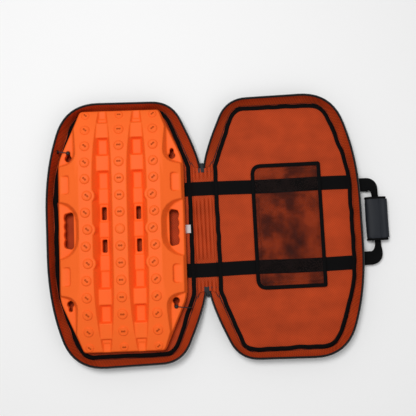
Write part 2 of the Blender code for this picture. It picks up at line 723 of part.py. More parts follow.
def board_blank():
    """The board's outer form with no hollows: a rounded roof cut to the outline with slanting edges."""
    deep, over = -0.030, 0.030
    bm = bmesh.new()
    stations = [k * STUD_PITCH for k in range(-STUD_ROWS, STUD_ROWS + 1)]
    stations = [-BOARD_HALF - over, -BOARD_HALF, *stations, BOARD_HALF, BOARD_HALF + over]
    sections = []
    for y in stations:
        ridge = ridge_height(y)
        shoulder, side = min(SHOULDER_HEIGHT, ridge - 0.001), min(SIDE_HEIGHT, ridge - 0.002)
        roof = [(SIDE_X + over, side - 0.008), (SIDE_X, side)]
        roof += [(SHOULDER_X + 0.004, shoulder), (SHOULDER_X - 0.004, ridge)]
        roof += [(-x, z) for x, z in reversed(roof)]
        feet = ((SIDE_X + over, y, deep), (-SIDE_X - over, y, deep))
        sections.append([feet[0], *[(x, y, z) for x, z in roof], feet[1]])
    swept(bm, sections, closed=False)
    blank = helper(bm)
    corners = [
        (BOARD_END_HALF_WIDTH, BOARD_HALF, 0.006),
        (-BOARD_END_HALF_WIDTH, BOARD_HALF, 0.006),
        (-BOARD_HALF_WIDTH, BOARD_SHOULDER, 0.110),
        (-BOARD_HALF_WIDTH, -BOARD_SHOULDER, 0.110),
        (-BOARD_END_HALF_WIDTH, -BOARD_HALF, 0.006),
        (BOARD_END_HALF_WIDTH, -BOARD_HALF, 0.006),
        (BOARD_HALF_WIDTH, -BOARD_SHOULDER, 0.110),
        (BOARD_HALF_WIDTH, BOARD_SHOULDER, 0.110),
    ]
    low, high = deep - 0.001, RIDGE_HEIGHT + 0.01
    bm = bmesh.new()
    prism(bm, grown(corners, -low * EDGE_DRAFT, 4), low, high, grown(corners, -high * EDGE_DRAFT, 4))
    apply_boolean(blank, helper(bm), "INTERSECT")
    return blank


def drafted(bm, outline, floor, draft, top=0.060):
    """A cutter that widens upwards from an outline on its floor."""
    prism(bm, outline, floor, top, inset_line(outline, -(top - floor) * draft))


def mirrored(points, sx, sy):
    """An outline mirrored into another corner of the board, still turning the same way."""
    moved = [Vector((p[0] * sx, p[1] * sy)) for p in points]
    return moved[::-1] if sx * sy < 0 else moved


SIDES = (1, -1)


def cut_hollows(board):
    """Troughs, corner decks, hand scoops and the shelves at the edges."""
    beyond = BOARD_HALF_WIDTH + 0.030
    for side in SIDES:
        for low_y, high_y, floor in TROUGH_STRETCHES:
            narrower = 0.0 if floor == TROUGH_FLOOR else 0.0008
            foot = TROUGH_HALF + (floor - TROUGH_FLOOR) * TROUGH_DRAFT - narrower
            bm = bmesh.new()
            outline = box_outline(side * TROUGH_X - foot, side * TROUGH_X + foot, low_y, high_y)
            drafted(bm, outline, floor, TROUGH_DRAFT)
            apply_boolean(board, helper(bm), "DIFFERENCE")
        for end in SIDES:
            deck = [(CORNER_X, 0.36, 0), (CORNER_X, CORNER_Y - 0.022, 0.030)]
            deck = rounded([*deck, (beyond, CORNER_Y - 0.046, 0), (beyond, 0.36, 0)], 5)
            shelf = [(RECESS_X, RECESS_TO, 0.006), (RECESS_X, RECESS_FROM, 0.006)]
            shelf = rounded([*shelf, (beyond, RECESS_FROM, 0), (beyond, RECESS_TO, 0)], 2)
            for outline, floor, draft in ((deck, CORNER_FLOOR, 0.42), (shelf, RECESS_FLOOR, 0.3)):
                bm = bmesh.new()
                drafted(bm, mirrored(outline, side, end), floor, draft)
                apply_boolean(board, helper(bm), "DIFFERENCE")
        reach = BOARD_HALF_WIDTH + 0.005 - SCOOP_X
        arc = [math.radians(a) for a in (0, 18, 36, 54, 72, 90)]
        rise = SCOOP_HALF - 0.022
        upper = [Vector((SCOOP_X + reach * (1 - math.cos(a)), 0.022 + rise * math.sin(a))) for a in arc]
        scoop = [Vector((beyond, SCOOP_HALF))] + upper[::-1]
        scoop += [Vector((p.x, -p.y)) for p in reversed(scoop)]
        bm = bmesh.new()
        drafted(bm, mirrored(scoop, side, 1), SCOOP_FLOOR, 0.42)
        apply_boolean(board, helper(bm), "DIFFERENCE")


def add_pads(board):
    """Raised steps on the trough floors, one for each row of studs that has one."""
    rows = {2: PAD_LOW_HEIGHT, 0: PAD_LOW_HEIGHT, 4: PAD_HEIGHT, 6: PAD_END_HEIGHT}
    draft = 0.36
    for side in SIDES:
        for row, height in rows.items():
            for end in SIDES if row else (1,):
                y = end * row * STUD_PITCH
                inner = PAD_HEIGHT if row == 6 else height
                low = -0.012
                width = TROUGH_HALF + (height - TROUGH_FLOOR) * TROUGH_DRAFT + 0.002
                half = STUD_PITCH / 2 - 0.0025
                spread = (height - low) * draft
                bm = bmesh.new()
                outline = box_outline(side * TROUGH_X - width, side * TROUGH_X + width, y - half, y + half)
                prism(bm, inset_line(outline, -spread), low, height, outline)
                for vert in bm.verts:
                    if vert.co.z > 0 and (vert.co.y - y) * end < 0:
                        vert.co.z = inner
                apply_boolean(board, helper(bm), "UNION")


def add_bosses(board):
    """Round swellings of the ridges under the studs that stand nearer to a trough."""
    places = [(side * (STUD_COLUMN - BOSS_SHIFT), row * STUD_PITCH) for side in SIDES for row in (-2, 0, 2)]
    places += [(0.0, -STUD_PITCH), (0.0, STUD_PITCH)]
    for x, y in places:
        bm = bmesh.new()
        low, high = -0.012, RIDGE_HEIGHT - 0.0004
        circle = [ring_point(x, y, BOSS_RADIUS, a) for a in turn_angles(14)]
        prism(bm, inset_line(circle, -(high - low) * 0.20), low, high, circle)
        apply_boolean(board, helper(bm), "UNION")


def turn_angles(count):
    return [(k + 0.5) * 2 * math.pi / count for k in range(count)]


def ring_point(x, y, radius, angle):
    return Vector((x + radius * math.cos(angle), y + radius * math.sin(angle)))


def stud_places():
    """Each stud's place and row: rows 0 and 2 of the outer columns stand a little nearer to the middle."""
    places = []
    for row in range(-STUD_ROWS, STUD_ROWS + 1):
        shift = BOSS_SHIFT if row in (-2, 0, 2) else 0.0
        for x in (-STUD_COLUMN + shift, 0.0, STUD_COLUMN - shift):
            places.append((x, row * STUD_PITCH, row))
    return places


def add_studs(board):
    for x, y, row in stud_places():
        last = abs(row) == STUD_ROWS
        sunk = {6: 0.001, 7: 0.0025}.get(abs(row), 0.0)
        radius = STUD_RADIUS - END_STUD_SHRINK * last
        top = ridge_height(y) + STUD_HEIGHT - sunk
        y -= math.copysign(END_STUD_SHIFT, row) * last
        circle = [ring_point(x, y, radius, a) for a in turn_angles(STUD_SIDES)]
        bm = bmesh.new()
        prism(bm, circle, top - STUD_HEIGHT - 0.003 + sunk * 0.5, top)
        apply_boolean(board, helper(bm), "UNION")


def keyhole_outline():
    """A round hole with a narrower slot towards the board's end."""
    meet = math.asin(KEYHOLE_SLOT_RADIUS / KEYHOLE_RADIUS)
    points = []
    for k in range(11):
        a = math.pi / 2 + meet + k * (2 * math.pi - 2 * meet) / 10
        points.append(ring_point(KEYHOLE_X, KEYHOLE_Y, KEYHOLE_RADIUS, a))
    for k in range(6):
        a = k * math.pi / 5
        points.append(ring_point(KEYHOLE_X, KEYHOLE_SLOT_END, KEYHOLE_SLOT_RADIUS, a))
    return points


def grip_slot_outline():
    """The hand slot: straight on its inner side, waved for the fingers on its outer side."""
    inner = GRIP_SLOT_X - GRIP_SLOT_WIDTH / 2
    outer = GRIP_SLOT_X + GRIP_SLOT_WIDTH / 2 - SCALLOP_DEPTH
    corner = ((0.007, 0.0), (0.002, 0.003), (0.0, 0.009))
    points = [Vector((inner + across, GRIP_SLOT_HALF - back)) for across, back in corner]
    points += [Vector((p.x, -p.y)) for p in reversed(points)]
    steps = 4 * SCALLOPS
    for k in range(steps + 1):
        share = k / steps
        wave = abs(math.sin(math.pi * SCALLOPS * share)) ** 0.7
        points.append(Vector((outer + SCALLOP_DEPTH * wave, (2 * share - 1) * (GRIP_SLOT_HALF - 0.004))))
    return points


def cut_holes(board):
    trough_slot = box_outline(TROUGH_X - SLOT_HALF_WIDTH, TROUGH_X + SLOT_HALF_WIDTH, SLOT_FROM, SLOT_TO)
    for side in SIDES:
        outlines = [mirrored(grip_slot_outline(), side, 1)]
        for end in SIDES:
            outlines += [mirrored(keyhole_outline(), side, end), mirrored(trough_slot, side, end)]
        for outline in outlines:
            bm = bmesh.new()
            prism(bm, outline, -0.005, 0.060)
            apply_boolean(board, helper(bm), "DIFFERENCE")


def board_mesh():
    """One board: its outer form less the same form one skin lower, then studs and holes."""
    board = board_blank()
    cut_hollows(board)
    add_pads(board)
    add_bosses(board)
    under = helper_from(board, -SKIN)
    apply_boolean(board, under, "DIFFERENCE")
    bm = bmesh.new()
    prism(bm, box_outline(-0.3, 0.3, -0.5, 0.5), -0.1, 0.0)
    apply_boolean(board, helper(bm), "DIFFERENCE")
    add_studs(board)
    cut_holes(board)
    mesh = board.data
    bpy.data.objects.remove(board)
    return mesh


def helper_from(obj, drop):
    """A lowered copy of a helper's mesh."""
    bm = bmesh.new()
    bm.from_mesh(obj.data)
    bmesh.ops.translate(bm, vec=(0, 0, drop), verts=bm.verts)
    return helper(bm)


def build_boards(lower, upper):
    mesh = board_mesh()
    mesh.name = "board"
    mesh.materials.clear()
    mesh.materials.append(material("moulded_orange"))
    for name, parent in (("board_lower", lower), ("board_upper", upper)):
        obj = bpy.data.objects.new(name, mesh)
        obj.parent = parent
        bpy.context.scene.collection.objects.link(obj)


# Leashes: each ball sits in a keyhole's narrow end, and its cord runs over the edge to a loop on the wall


LEASHES = {
    "left": {
        "corner": (-1, 1),
        "route": [(7.5, 1.2, 2.2), (15.0, 2.4, 3.6), (22.0, 3.6, 3.2), (27.6, 5.0, 1.4), (0, 5.4, -6.5)],
    },
    "right": {
        "corner": (1, -1),
        "route": [(7.5, 1.0, 2.2), (15.0, 2.2, 3.4), (22.0, 3.4, 2.2), (28.0, 4.4, -2.4), (0, 5.0, -14.5)],
    },
}


def smooth_route(points, spacing):
    """Evenly spaced points on a smooth curve through a cord's own points."""
    fine = []
    for i in range(len(points) - 1):
        a, b = points[i], points[i + 1]
        before = points[i - 1] if i else a * 2 - b
        after = points[i + 2] if i + 2 < len(points) else b * 2 - a
        for k in range(12):
            t = k / 12
            steady = a + (b - before) * t / 2
            square = (2 * before - 5 * a + 4 * b - after) * t**2 / 2
            cube = (3 * a - before - 3 * b + after) * t**3 / 2
            fine.append(steady + square + cube)
    fine.append(points[-1])
    lengths = [0.0]
    for a, b in zip(fine, fine[1:]):
        lengths.append(lengths[-1] + (b - a).length)
    count = max(4, round(lengths[-1] / spacing))
    even, j = [], 0
    for k in range(count + 1):
        want = lengths[-1] * k / count
        while j < len(fine) - 2 and lengths[j + 1] < want:
            j += 1
        step = lengths[j + 1] - lengths[j]
        even.append(fine[j].lerp(fine[j + 1], min(1.0, (want - lengths[j]) / step) if step else 0))
    return even


def wall_inside_u(y, z, far):
    """How far out the wall's lining stands at one place, on its far side or beside the fold line."""
    share = (z - wall_height(0)) / (WALL_TOP - wall_height(0))
    line = inset_line(wall_line(share), -LINING - 2 * GAP, closed=False)
    found = []
    for a, b in zip(line, line[1:]):
        if min(a.y, b.y) <= y <= max(a.y, b.y) and a.y != b.y:
            found.append(a.x + (b.x - a.x) * (y - a.y) / (b.y - a.y))
    return max(found) if far else min(found)


def loop_place(y, low, far):
    """The middle of a loop that lies against the wall's lining over its whole width."""
    faces = [wall_inside_u(y + s * LOOP_WIDTH / 2, low, far) for s in SIDES]
    return SPINE_X - (min(faces) - LOOP_THICKNESS / 2 if far else max(faces) + LOOP_THICKNESS / 2)


def build_leash(name, corner, route, board, tray):
    turn = Matrix.Rotation(BOARD_TURN, 3, "Z")
    in_board = Vector((corner[0] * KEYHOLE_X, corner[1] * KEYHOLE_SLOT_END, 0))
    deck = BOARD_Z + BOARD_PITCH + CORNER_FLOOR
    ball = turn @ in_board + Vector((BOARD_X, BOARD_Y, deck + 0.0005))
    bm = bmesh.new()
    bmesh.ops.create_uvsphere(bm, u_segments=10, v_segments=6, radius=BALL_RADIUS)
    bmesh.ops.translate(bm, vec=ball, verts=bm.verts)
    add_solid(f"leash_ball_{name}", bm, "cord_black", board, smooth=60)

    away = [ball + Vector((corner[0] * x, corner[1] * y, z)) / 1000 for x, y, z in route]
    loop_top = away[-1].z - GAP
    away[-1].x = loop_place(away[-1].y, loop_top - LOOP_HEIGHT, corner[0] < 0)
    away.insert(-1, away[-1] + Vector((0, 0, 4 * CORD_RADIUS)))
    start = ball + (away[0] - ball).normalized() * (BALL_RADIUS + GAP)
    points = smooth_route([start] + away, 5 * CORD_RADIUS)
    curve = bpy.data.curves.new(f"leash_cord_{name}", "CURVE")
    curve.dimensions = "3D"
    curve.bevel_depth = CORD_RADIUS
    curve.bevel_resolution = 2
    curve.use_fill_caps = True
    spline = curve.splines.new("POLY")
    spline.points.add(len(points) - 1)
    inverse = board.matrix_world.inverted()
    for spot, place in zip(spline.points, points):
        spot.co = (*(inverse @ place), 1)
    curve.materials.append(material("cord_black"))
    cord = bpy.data.objects.new(f"leash_cord_{name}", curve)
    cord.parent = board
    bpy.context.scene.collection.objects.link(cord)

    x, y = points[-1].x, points[-1].y
    low = (x - LOOP_THICKNESS / 2, y - LOOP_WIDTH / 2, loop_top - LOOP_HEIGHT)
    high = (x + LOOP_THICKNESS / 2, y + LOOP_WIDTH / 2, loop_top)
    add_slab(f"leash_loop_{name}", low, high, "webbing_black", tray)


def main():
    clear_scene()
    tray = empty("tray_frame", (0, 0, 0))
    spine = empty("spine_fold_axis", (SPINE_X - FOLD_U, 0, FOLD_Z), tray)
    lid = empty("lid_fold_axis", (SPINE_X + FOLD_U, 0, FOLD_Z), spine)
    lower = empty("board_lower_seat", (BOARD_X, BOARD_Y, BOARD_Z), tray, BOARD_TURN)
    upper = empty("board_upper_seat", (BOARD_X, BOARD_Y, BOARD_Z + BOARD_PITCH), tray, BOARD_TURN)
    handle = empty("handle_swing_axis", (SPINE_X + HANDLE_U, 0, HANDLE_Z), lid)
    flap_x = SPINE_X + GRIP_U + GRIP_WIDTH / 2 + GAP + FLAP / 2
    flap = empty("grip_flap_axis", (flap_x, GRIP_Y, HANDLE_Z), handle)

    build_half("tray", -1, tray)
    build_half("lid", 1, lid)
    build_spine(spine)
    build_straps({"tray": tray, "spine": spine, "lid": lid})
    build_label(tray)
    build_pocket(lid)
    build_anchors(lid)
    build_handle(handle, flap)
    build_boards(lower, upper)
    for name, leash in LEASHES.items():
        build_leash(name, leash["corner"], leash["route"], upper, tray)
    for level, sign in STRAPS:
        slider = empty(f"zip_slider_{level}_seat", (SPINE_X, sign * SLIDER_Y, SLIDER_Z), spine)
        puller = empty(f"zip_puller_{level}_axis", (SPINE_X, sign * SLIDER_Y, PIVOT_Z), slider)
        build_end_tab(level, sign, spine)
        build_slider(level, sign, slider, puller)


main()
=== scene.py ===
"""A nested pair of studded recovery boards in an open, zip-round fabric case."""

import json
import math

import bmesh
import bpy
from bpy.props import FloatProperty, FloatVectorProperty, PointerProperty
from mathutils import Matrix, Vector, noise


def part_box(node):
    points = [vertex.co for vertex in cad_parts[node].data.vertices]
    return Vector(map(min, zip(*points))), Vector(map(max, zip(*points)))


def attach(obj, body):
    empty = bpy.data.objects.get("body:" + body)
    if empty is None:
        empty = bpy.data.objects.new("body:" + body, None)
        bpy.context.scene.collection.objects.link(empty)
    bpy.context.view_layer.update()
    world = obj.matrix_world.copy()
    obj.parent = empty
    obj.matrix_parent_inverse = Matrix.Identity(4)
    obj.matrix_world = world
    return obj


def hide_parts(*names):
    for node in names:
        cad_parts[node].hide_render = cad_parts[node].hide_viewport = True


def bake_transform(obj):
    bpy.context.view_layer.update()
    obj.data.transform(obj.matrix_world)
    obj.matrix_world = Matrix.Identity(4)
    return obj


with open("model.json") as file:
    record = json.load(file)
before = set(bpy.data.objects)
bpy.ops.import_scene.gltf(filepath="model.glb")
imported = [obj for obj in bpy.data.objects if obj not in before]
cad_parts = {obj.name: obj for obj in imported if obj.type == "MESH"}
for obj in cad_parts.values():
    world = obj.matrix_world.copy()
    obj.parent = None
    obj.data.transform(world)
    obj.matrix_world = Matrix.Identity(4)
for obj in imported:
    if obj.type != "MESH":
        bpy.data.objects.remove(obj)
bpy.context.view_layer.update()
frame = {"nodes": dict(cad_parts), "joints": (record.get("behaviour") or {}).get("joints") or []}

bl_info = {
    "name": "Recovery board case",
    "version": (1, 0, 0),
    "blender": (4, 5, 0),
    "location": "View3D > Sidebar > Board case",
    "description": "Builds an open fabric case with two nested recovery boards",
    "category": "Add Mesh",
}

JOINTS = {joint["name"]: joint for joint in frame["joints"]}
FOLD_TRAY = JOINTS["spine_fold"]["pos_m"][0]
FOLD_LID = JOINTS["lid_fold"]["pos_m"][0]
SPINE_X = (FOLD_TRAY + FOLD_LID) / 2
FOLD_U = (FOLD_LID - FOLD_TRAY) / 2
LINING_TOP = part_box("lid_floor_lining")[1].z
RIM_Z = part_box("lid_zip")[1].z
BOARD_LOW, BOARD_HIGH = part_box("board_upper")
BOARD_CENTRE = (BOARD_LOW + BOARD_HIGH) / 2
BOARD_TURN = math.radians(-0.8)
HALVES = (("tray", -1), ("lid", 1))
LEVELS = (("upper", 1), ("lower", -1))
RIM_TOP = 0.0425
STRAP_Y = 0.108
SEAM_Y = 0.1545
HANDLE_Y = 0.098
CORD_DIAMETER = 0.0025
FLOOR_Z = -0.0006


def size_prop(name, description, default):
    return FloatProperty(name=name, description=description, default=default, unit="LENGTH")


def colour_prop(name, description, default):
    return FloatVectorProperty(name=name, description=description, default=default, subtype="COLOR")


class CaseSizes(bpy.types.PropertyGroup):
    """Sizes of the case's soft pieces."""

    wall_thickness: size_prop("Wall", "Thickness of the padded wall", 0.0024)
    binding_width: size_prop("Binding", "Width of the floor's edge binding", 0.011)
    strap_width: size_prop("Strap", "Width of the floor straps", 0.037)
    tape_width: size_prop("Zip tape", "Width of the zip tape on the rim", 0.0056)
    coil_pitch: size_prop("Zip pitch", "Distance between the zip's coils", 0.0016)
    wrinkle: size_prop("Wrinkle", "Depth of the folds in the fabric", 0.0011)
    voxel: size_prop("Board grain", "Size of the grid that rounds the moulded board", 0.0016)


class CaseColours(bpy.types.PropertyGroup):
    """Colours of the finishes."""

    board: colour_prop("Board", "Moulded orange plastic", (0.96, 0.140, 0.018))
    lining: colour_prop("Lining", "Rust lining fabric", (0.42, 0.047, 0.009))
    shell: colour_prop("Shell", "Black outer fabric", (0.006, 0.006, 0.0068))
    webbing: colour_prop("Webbing", "Black webbing and binding", (0.0016, 0.0016, 0.0018))
    grip: colour_prop("Grip", "Dark slate grip fabric", (0.0075, 0.0095, 0.014))
    net: colour_prop("Net", "Dark net of the pocket", (0.010, 0.005, 0.0045))
    label: colour_prop("Label", "Plain woven label", (0.60, 0.57, 0.57))


# Finishes


def new_material(name, colour, roughness, **extra):
    found = bpy.data.materials.get(name)
    if found:
        return found, None, None
    made = bpy.data.materials.new(name)
    made.use_nodes = True
    tree = made.node_tree
    shader = tree.nodes["Principled BSDF"]
    shader.inputs["Base Color"].default_value = (*colour, 1)
    shader.inputs["Roughness"].default_value = roughness
    for key, value in extra.items():
        shader.inputs[key.replace("_", " ")].default_value = value
    return made, tree, shader


def node(tree, kind, **settings):
    made = tree.nodes.new(kind)
    for key, value in settings.items():
        if key in made.inputs:
            made.inputs[key].default_value = value
        else:
            setattr(made, key, value)
    return made


def place_of(tree, uv=False):
    coords = node(tree, "ShaderNodeTexCoord")
    return coords.outputs["UV" if uv else "Object"]


def tinted(tree, shader, factor, dark, light):
    """Colour between two tones by a factor between 0 and 1."""
    ramp = node(tree, "ShaderNodeValToRGB")
    ramp.color_ramp.elements[0].color = (*dark, 1)
    ramp.color_ramp.elements[1].color = (*light, 1)
    tree.links.new(factor, ramp.inputs["Fac"])
    tree.links.new(ramp.outputs["Color"], shader.inputs["Base Color"])
    return ramp


def bumped(tree, shader, height, strength, distance):
    bump = node(tree, "ShaderNodeBump", Strength=strength, Distance=distance)
    tree.links.new(height, bump.inputs["Height"])
    tree.links.new(bump.outputs["Normal"], shader.inputs["Normal"])


def mixed(tree, a, b, factor):
    """Two heights or factors mixed."""
    mix = node(tree, "ShaderNodeMix", data_type="FLOAT")
    mix.inputs[0].default_value = factor
    tree.links.new(a, mix.inputs[2])
    tree.links.new(b, mix.inputs[3])
    return mix.outputs[0]


def waves(tree, place, direction, per_metre, angle=0.0):
    """Even ridges across one direction."""
    turn = node(tree, "ShaderNodeMapping")
    turn.inputs["Rotation"].default_value[2] = angle
    tree.links.new(place, turn.inputs["Vector"])
    scale = per_metre / 3.1416 / 2 * 0.995
    wave = node(tree, "ShaderNodeTexWave", bands_direction=direction, Scale=scale)
    tree.links.new(turn.outputs["Vector"], wave.inputs["Vector"])
    return wave.outputs["Fac"]


def clouds(tree, place, scale, detail=3.0):
    made = node(tree, "ShaderNodeTexNoise", Scale=scale, Detail=detail)
    tree.links.new(place, made.inputs["Vector"])
    return made.outputs["Fac"]


def painted_fold_highlights(tree, place):
    """Painted highlights: broad soft streaks of light that run slantwise over a stretched lining, where its
    folds would catch the light.
    """
    turn = node(tree, "ShaderNodeMapping")
    turn.inputs["Rotation"].default_value[2] = math.radians(-32)
    turn.inputs["Scale"].default_value = (3.0, 16.0, 8.0)
    tree.links.new(place, turn.inputs["Vector"])
    return clouds(tree, turn.outputs["Vector"], 1.0, 3.0)


def shade(colour, amount):
    return tuple(c * amount for c in colour)


def board_plastic():
    colour = bpy.context.scene.case_colours.board
    made, tree, shader = new_material("moulded_orange_plastic", colour, 0.52, Specular_IOR_Level=0.14)
    if tree:
        place = place_of(tree)
        tinted(tree, shader, clouds(tree, place, 9.0), shade(colour, 0.95), shade(colour, 1.04))
        bumped(tree, shader, clouds(tree, place, 900.0), 0.25, 0.0004)
    return made


def board_recess_painted_shade():
    colour = bpy.context.scene.case_colours.board
    name = "moulded_orange_recess_painted_shade"
    # The sunk mark is the board's own plastic painted darker: painted shade in the recess.
    made, tree, shader = new_material(name, shade(colour, 0.62), 0.6, Specular_IOR_Level=0.06)
    if tree:
        place = place_of(tree)
        tinted(tree, shader, clouds(tree, place, 120.0), shade(colour, 0.50), shade(colour, 0.62))
    return made


def lining_cloth():
    colour = bpy.context.scene.case_colours.lining
    made, tree, shader = new_material("rust_lining_cloth", colour, 0.7, Specular_IOR_Level=0.12)
    if tree:
        place = place_of(tree)
        first = waves(tree, place, "X", 420.0, math.radians(38))
        second = waves(tree, place, "Y", 420.0, math.radians(38))
        weave = mixed(tree, first, second, 0.5)
        # Random mottling mixed with painted highlights along slantwise folds; the ramp's light end carries the
        # painted highlights.
        soft = mixed(tree, clouds(tree, place, 24.0, 5.0), painted_fold_highlights(tree, place), 0.55)
        tone = mixed(tree, soft, weave, 0.30)
        ramp = tinted(tree, shader, tone, shade(colour, 0.60), shade(colour, 1.45))
        ramp.color_ramp.elements[0].position = 0.22
        ramp.color_ramp.elements[1].position = 0.78
        bumped(tree, shader, weave, 0.35, 0.0004)
    return made


def seam_cloth():
    colour = bpy.context.scene.case_colours.lining
    made, tree, shader = new_material("rust_seam_thread", shade(colour, 0.3), 0.7)
    if tree:
        tinted(tree, shader, waves(tree, place_of(tree), "X", 700.0), shade(colour, 0.16), shade(colour, 0.5))
    return made


def shell_cloth():
    colour = bpy.context.scene.case_colours.shell
    made, tree, shader = new_material("black_shell_cloth", colour, 0.72, Specular_IOR_Level=0.25)
    if tree:
        place = place_of(tree)
        first = waves(tree, place, "X", 800.0, math.radians(45))
        second = waves(tree, place, "Y", 800.0, math.radians(45))
        up = waves(tree, place, "Z", 900.0)
        weave = mixed(tree, mixed(tree, first, second, 0.5), up, 0.3)
        tone = mixed(tree, clouds(tree, place, 30.0, 4.0), weave, 0.5)
        tinted(tree, shader, tone, shade(colour, 0.55), shade(colour, 1.9))
        bumped(tree, shader, weave, 0.5, 0.0006)
    return made


def webbing():
    """Ribbed webbing: the ribs run across the strap's own length."""
    colour = bpy.context.scene.case_colours.webbing
    made, tree, shader = new_material("black_webbing", colour, 0.75, Specular_IOR_Level=0.09)
    if tree:
        place = place_of(tree, uv=True)
        ribs = waves(tree, place, "X", 1400.0)
        lengthwise = waves(tree, place, "Y", 2200.0)
        weave = mixed(tree, ribs, lengthwise, 0.35)
        tinted(tree, shader, weave, shade(colour, 0.5), shade(colour, 2.0))
        bumped(tree, shader, weave, 0.6, 0.0005)
    return made


def zip_tape():
    colour = bpy.context.scene.case_colours.webbing
    made, tree, shader = new_material("black_zip_tape", colour, 0.66, Specular_IOR_Level=0.2)
    if tree:
        place = place_of(tree, uv=True)
        weave = mixed(tree, waves(tree, place, "X", 2600.0), waves(tree, place, "Y", 2600.0), 0.5)
        tinted(tree, shader, weave, shade(colour, 0.6), shade(colour, 2.2))
        bumped(tree, shader, weave, 0.4, 0.0003)
    return made


def coil_nylon():
    colour = bpy.context.scene.case_colours.webbing
    made, tree, shader = new_material("black_zip_coil", shade(colour, 1.6), 0.35)
    if tree:
        tinted(tree, shader, clouds(tree, place_of(tree), 300.0), shade(colour, 1.0), shade(colour, 2.6))
    return made


def grip_cloth():
    colour = bpy.context.scene.case_colours.grip
    made, tree, shader = new_material("slate_grip_cloth", colour, 0.6, Specular_IOR_Level=0.3)
    if tree:
        place = place_of(tree)
        nap = clouds(tree, place, 700.0, 4.0)
        tone = mixed(tree, clouds(tree, place, 40.0, 3.0), nap, 0.5)
        tinted(tree, shader, tone, shade(colour, 0.7), shade(colour, 1.6))
        bumped(tree, shader, nap, 0.35, 0.0005)
    return made


def net_cloth():
    """Knitted net: dark threads with small round holes between them."""
    colour = bpy.context.scene.case_colours.net
    made, tree, shader = new_material("dark_pocket_net", colour, 0.75, Specular_IOR_Level=0.1)
    if tree:
        place = place_of(tree)
        tinted(tree, shader, clouds(tree, place, 60.0, 4.0), shade(colour, 0.5), shade(colour, 1.8))
        cells = node(tree, "ShaderNodeTexVoronoi", Scale=520.0, Randomness=0.2)
        tree.links.new(place, cells.inputs["Vector"])
        cover = mixed(tree, cells.outputs["Distance"], clouds(tree, place, 17.0, 4.0), 0.72)
        holes = node(tree, "ShaderNodeMapRange")
        holes.inputs["From Min"].default_value = 0.36
        holes.inputs["From Max"].default_value = 0.58
        holes.inputs["To Min"].default_value = 0.74
        holes.inputs["To Max"].default_value = 0.26
        tree.links.new(cover, holes.inputs["Value"])
        tree.links.new(holes.outputs["Result"], shader.inputs["Alpha"])
    return made


def label_cloth():
    colour = bpy.context.scene.case_colours.label
    made, tree, shader = new_material("plain_woven_label", colour, 0.6)
    if tree:
        place = place_of(tree)
        weave = mixed(tree, waves(tree, place, "X", 1500.0), waves(tree, place, "Y", 1500.0), 0.5)
        tinted(tree, shader, weave, shade(colour, 0.85), shade(colour, 1.05))
        bumped(tree, shader, weave, 0.2, 0.0002)
    return made


def black_metal():
    made, tree, shader = new_material("black_painted_metal", (0.03, 0.03, 0.032), 0.32, Metallic=0.8)
    if tree:
        place = place_of(tree)
        tinted(tree, shader, clouds(tree, place, 180.0), (0.018, 0.018, 0.02), (0.06, 0.06, 0.062))
        bumped(tree, shader, clouds(tree, place, 1200.0), 0.15, 0.0002)
    return made


def cord_cloth():
    made, tree, shader = new_material("black_braided_cord", (0.008, 0.008, 0.009), 0.65)
    if tree:
        place = place_of(tree)
        braid = waves(tree, place, "DIAGONAL", 2600.0)
        tinted(tree, shader, braid, (0.004, 0.004, 0.004), (0.02, 0.02, 0.02))
        bumped(tree, shader, braid, 0.5, 0.0003)
    return made


# Mesh helpers


def deselect():
    if bpy.context.mode != "OBJECT":
        bpy.ops.object.mode_set(mode="OBJECT")
    bpy.ops.object.select_all(action="DESELECT")


def make_active(obj):
    deselect()
    obj.select_set(True)
    bpy.context.view_layer.objects.active = obj


def apply_all(obj):
    """Applies the piece's modifiers in order."""
    make_active(obj)
    for modifier in list(obj.modifiers):
        bpy.ops.object.modifier_apply(modifier=modifier.name)


def settle(obj):
    """Moves the piece's place into its mesh."""
    make_active(obj)
    bpy.ops.object.transform_apply(location=True, rotation=True, scale=True)


def smooth_sides(obj, angle=40):
    make_active(obj)
    bpy.ops.object.shade_smooth_by_angle(angle=math.radians(angle))


def recalc(obj):
    make_active(obj)
    bpy.ops.object.mode_set(mode="EDIT")
    bpy.ops.mesh.select_all(action="SELECT")
    bpy.ops.mesh.normals_make_consistent(inside=False)
    bpy.ops.object.mode_set(mode="OBJECT")


def finish_piece(obj, finish, body, slot, *nodes):
    """Gives a piece its material and its body, and hides the CAD nodes it stands for. The slot is not used."""
    if not obj.data.materials:
        obj.data.materials.append(finish)
    if body:
        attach(obj, body)
    if nodes:
        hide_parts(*nodes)
    return obj


def linked(name, data):
    obj = bpy.data.objects.new(name, data)
    bpy.context.scene.collection.objects.link(obj)
    return obj


def from_bmesh(name, bm):
    mesh = bpy.data.meshes.new(name)
    bm.to_mesh(mesh)
    bm.free()
    return linked(name, mesh)


def face_up(obj):
    """Turns a sheet over if it was laid face down."""
    if obj.data.polygons[0].normal.z < 0:
        obj.data.flip_normals()


def give_thickness(obj, name, thickness, offset=0, edge=0.0):
    """Makes a sheet into cloth with two sides, and softens its edge if it has one."""
    thick = obj.modifiers.new(name, "SOLIDIFY")
    thick.thickness = thickness
    thick.offset = offset
    if edge:
        soft = obj.modifiers.new("edge", "BEVEL")
        soft.width = edge
        soft.segments = 2
    apply_all(obj)


def map_like_a_box(obj):
    """Gives a block a UV map in metres."""
    make_active(obj)
    bpy.ops.object.mode_set(mode="EDIT")
    bpy.ops.mesh.select_all(action="SELECT")
    bpy.ops.uv.cube_project(cube_size=1.0)
    bpy.ops.object.mode_set(mode="OBJECT")


def blended(obj, finish, slot, half, side, *nodes):
    """Finishes a piece that crosses the fold line between its half and the spine. The half is not used."""
    if finish:
        obj.data.materials.append(finish)
    if nodes:
        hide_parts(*nodes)
    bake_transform(obj)


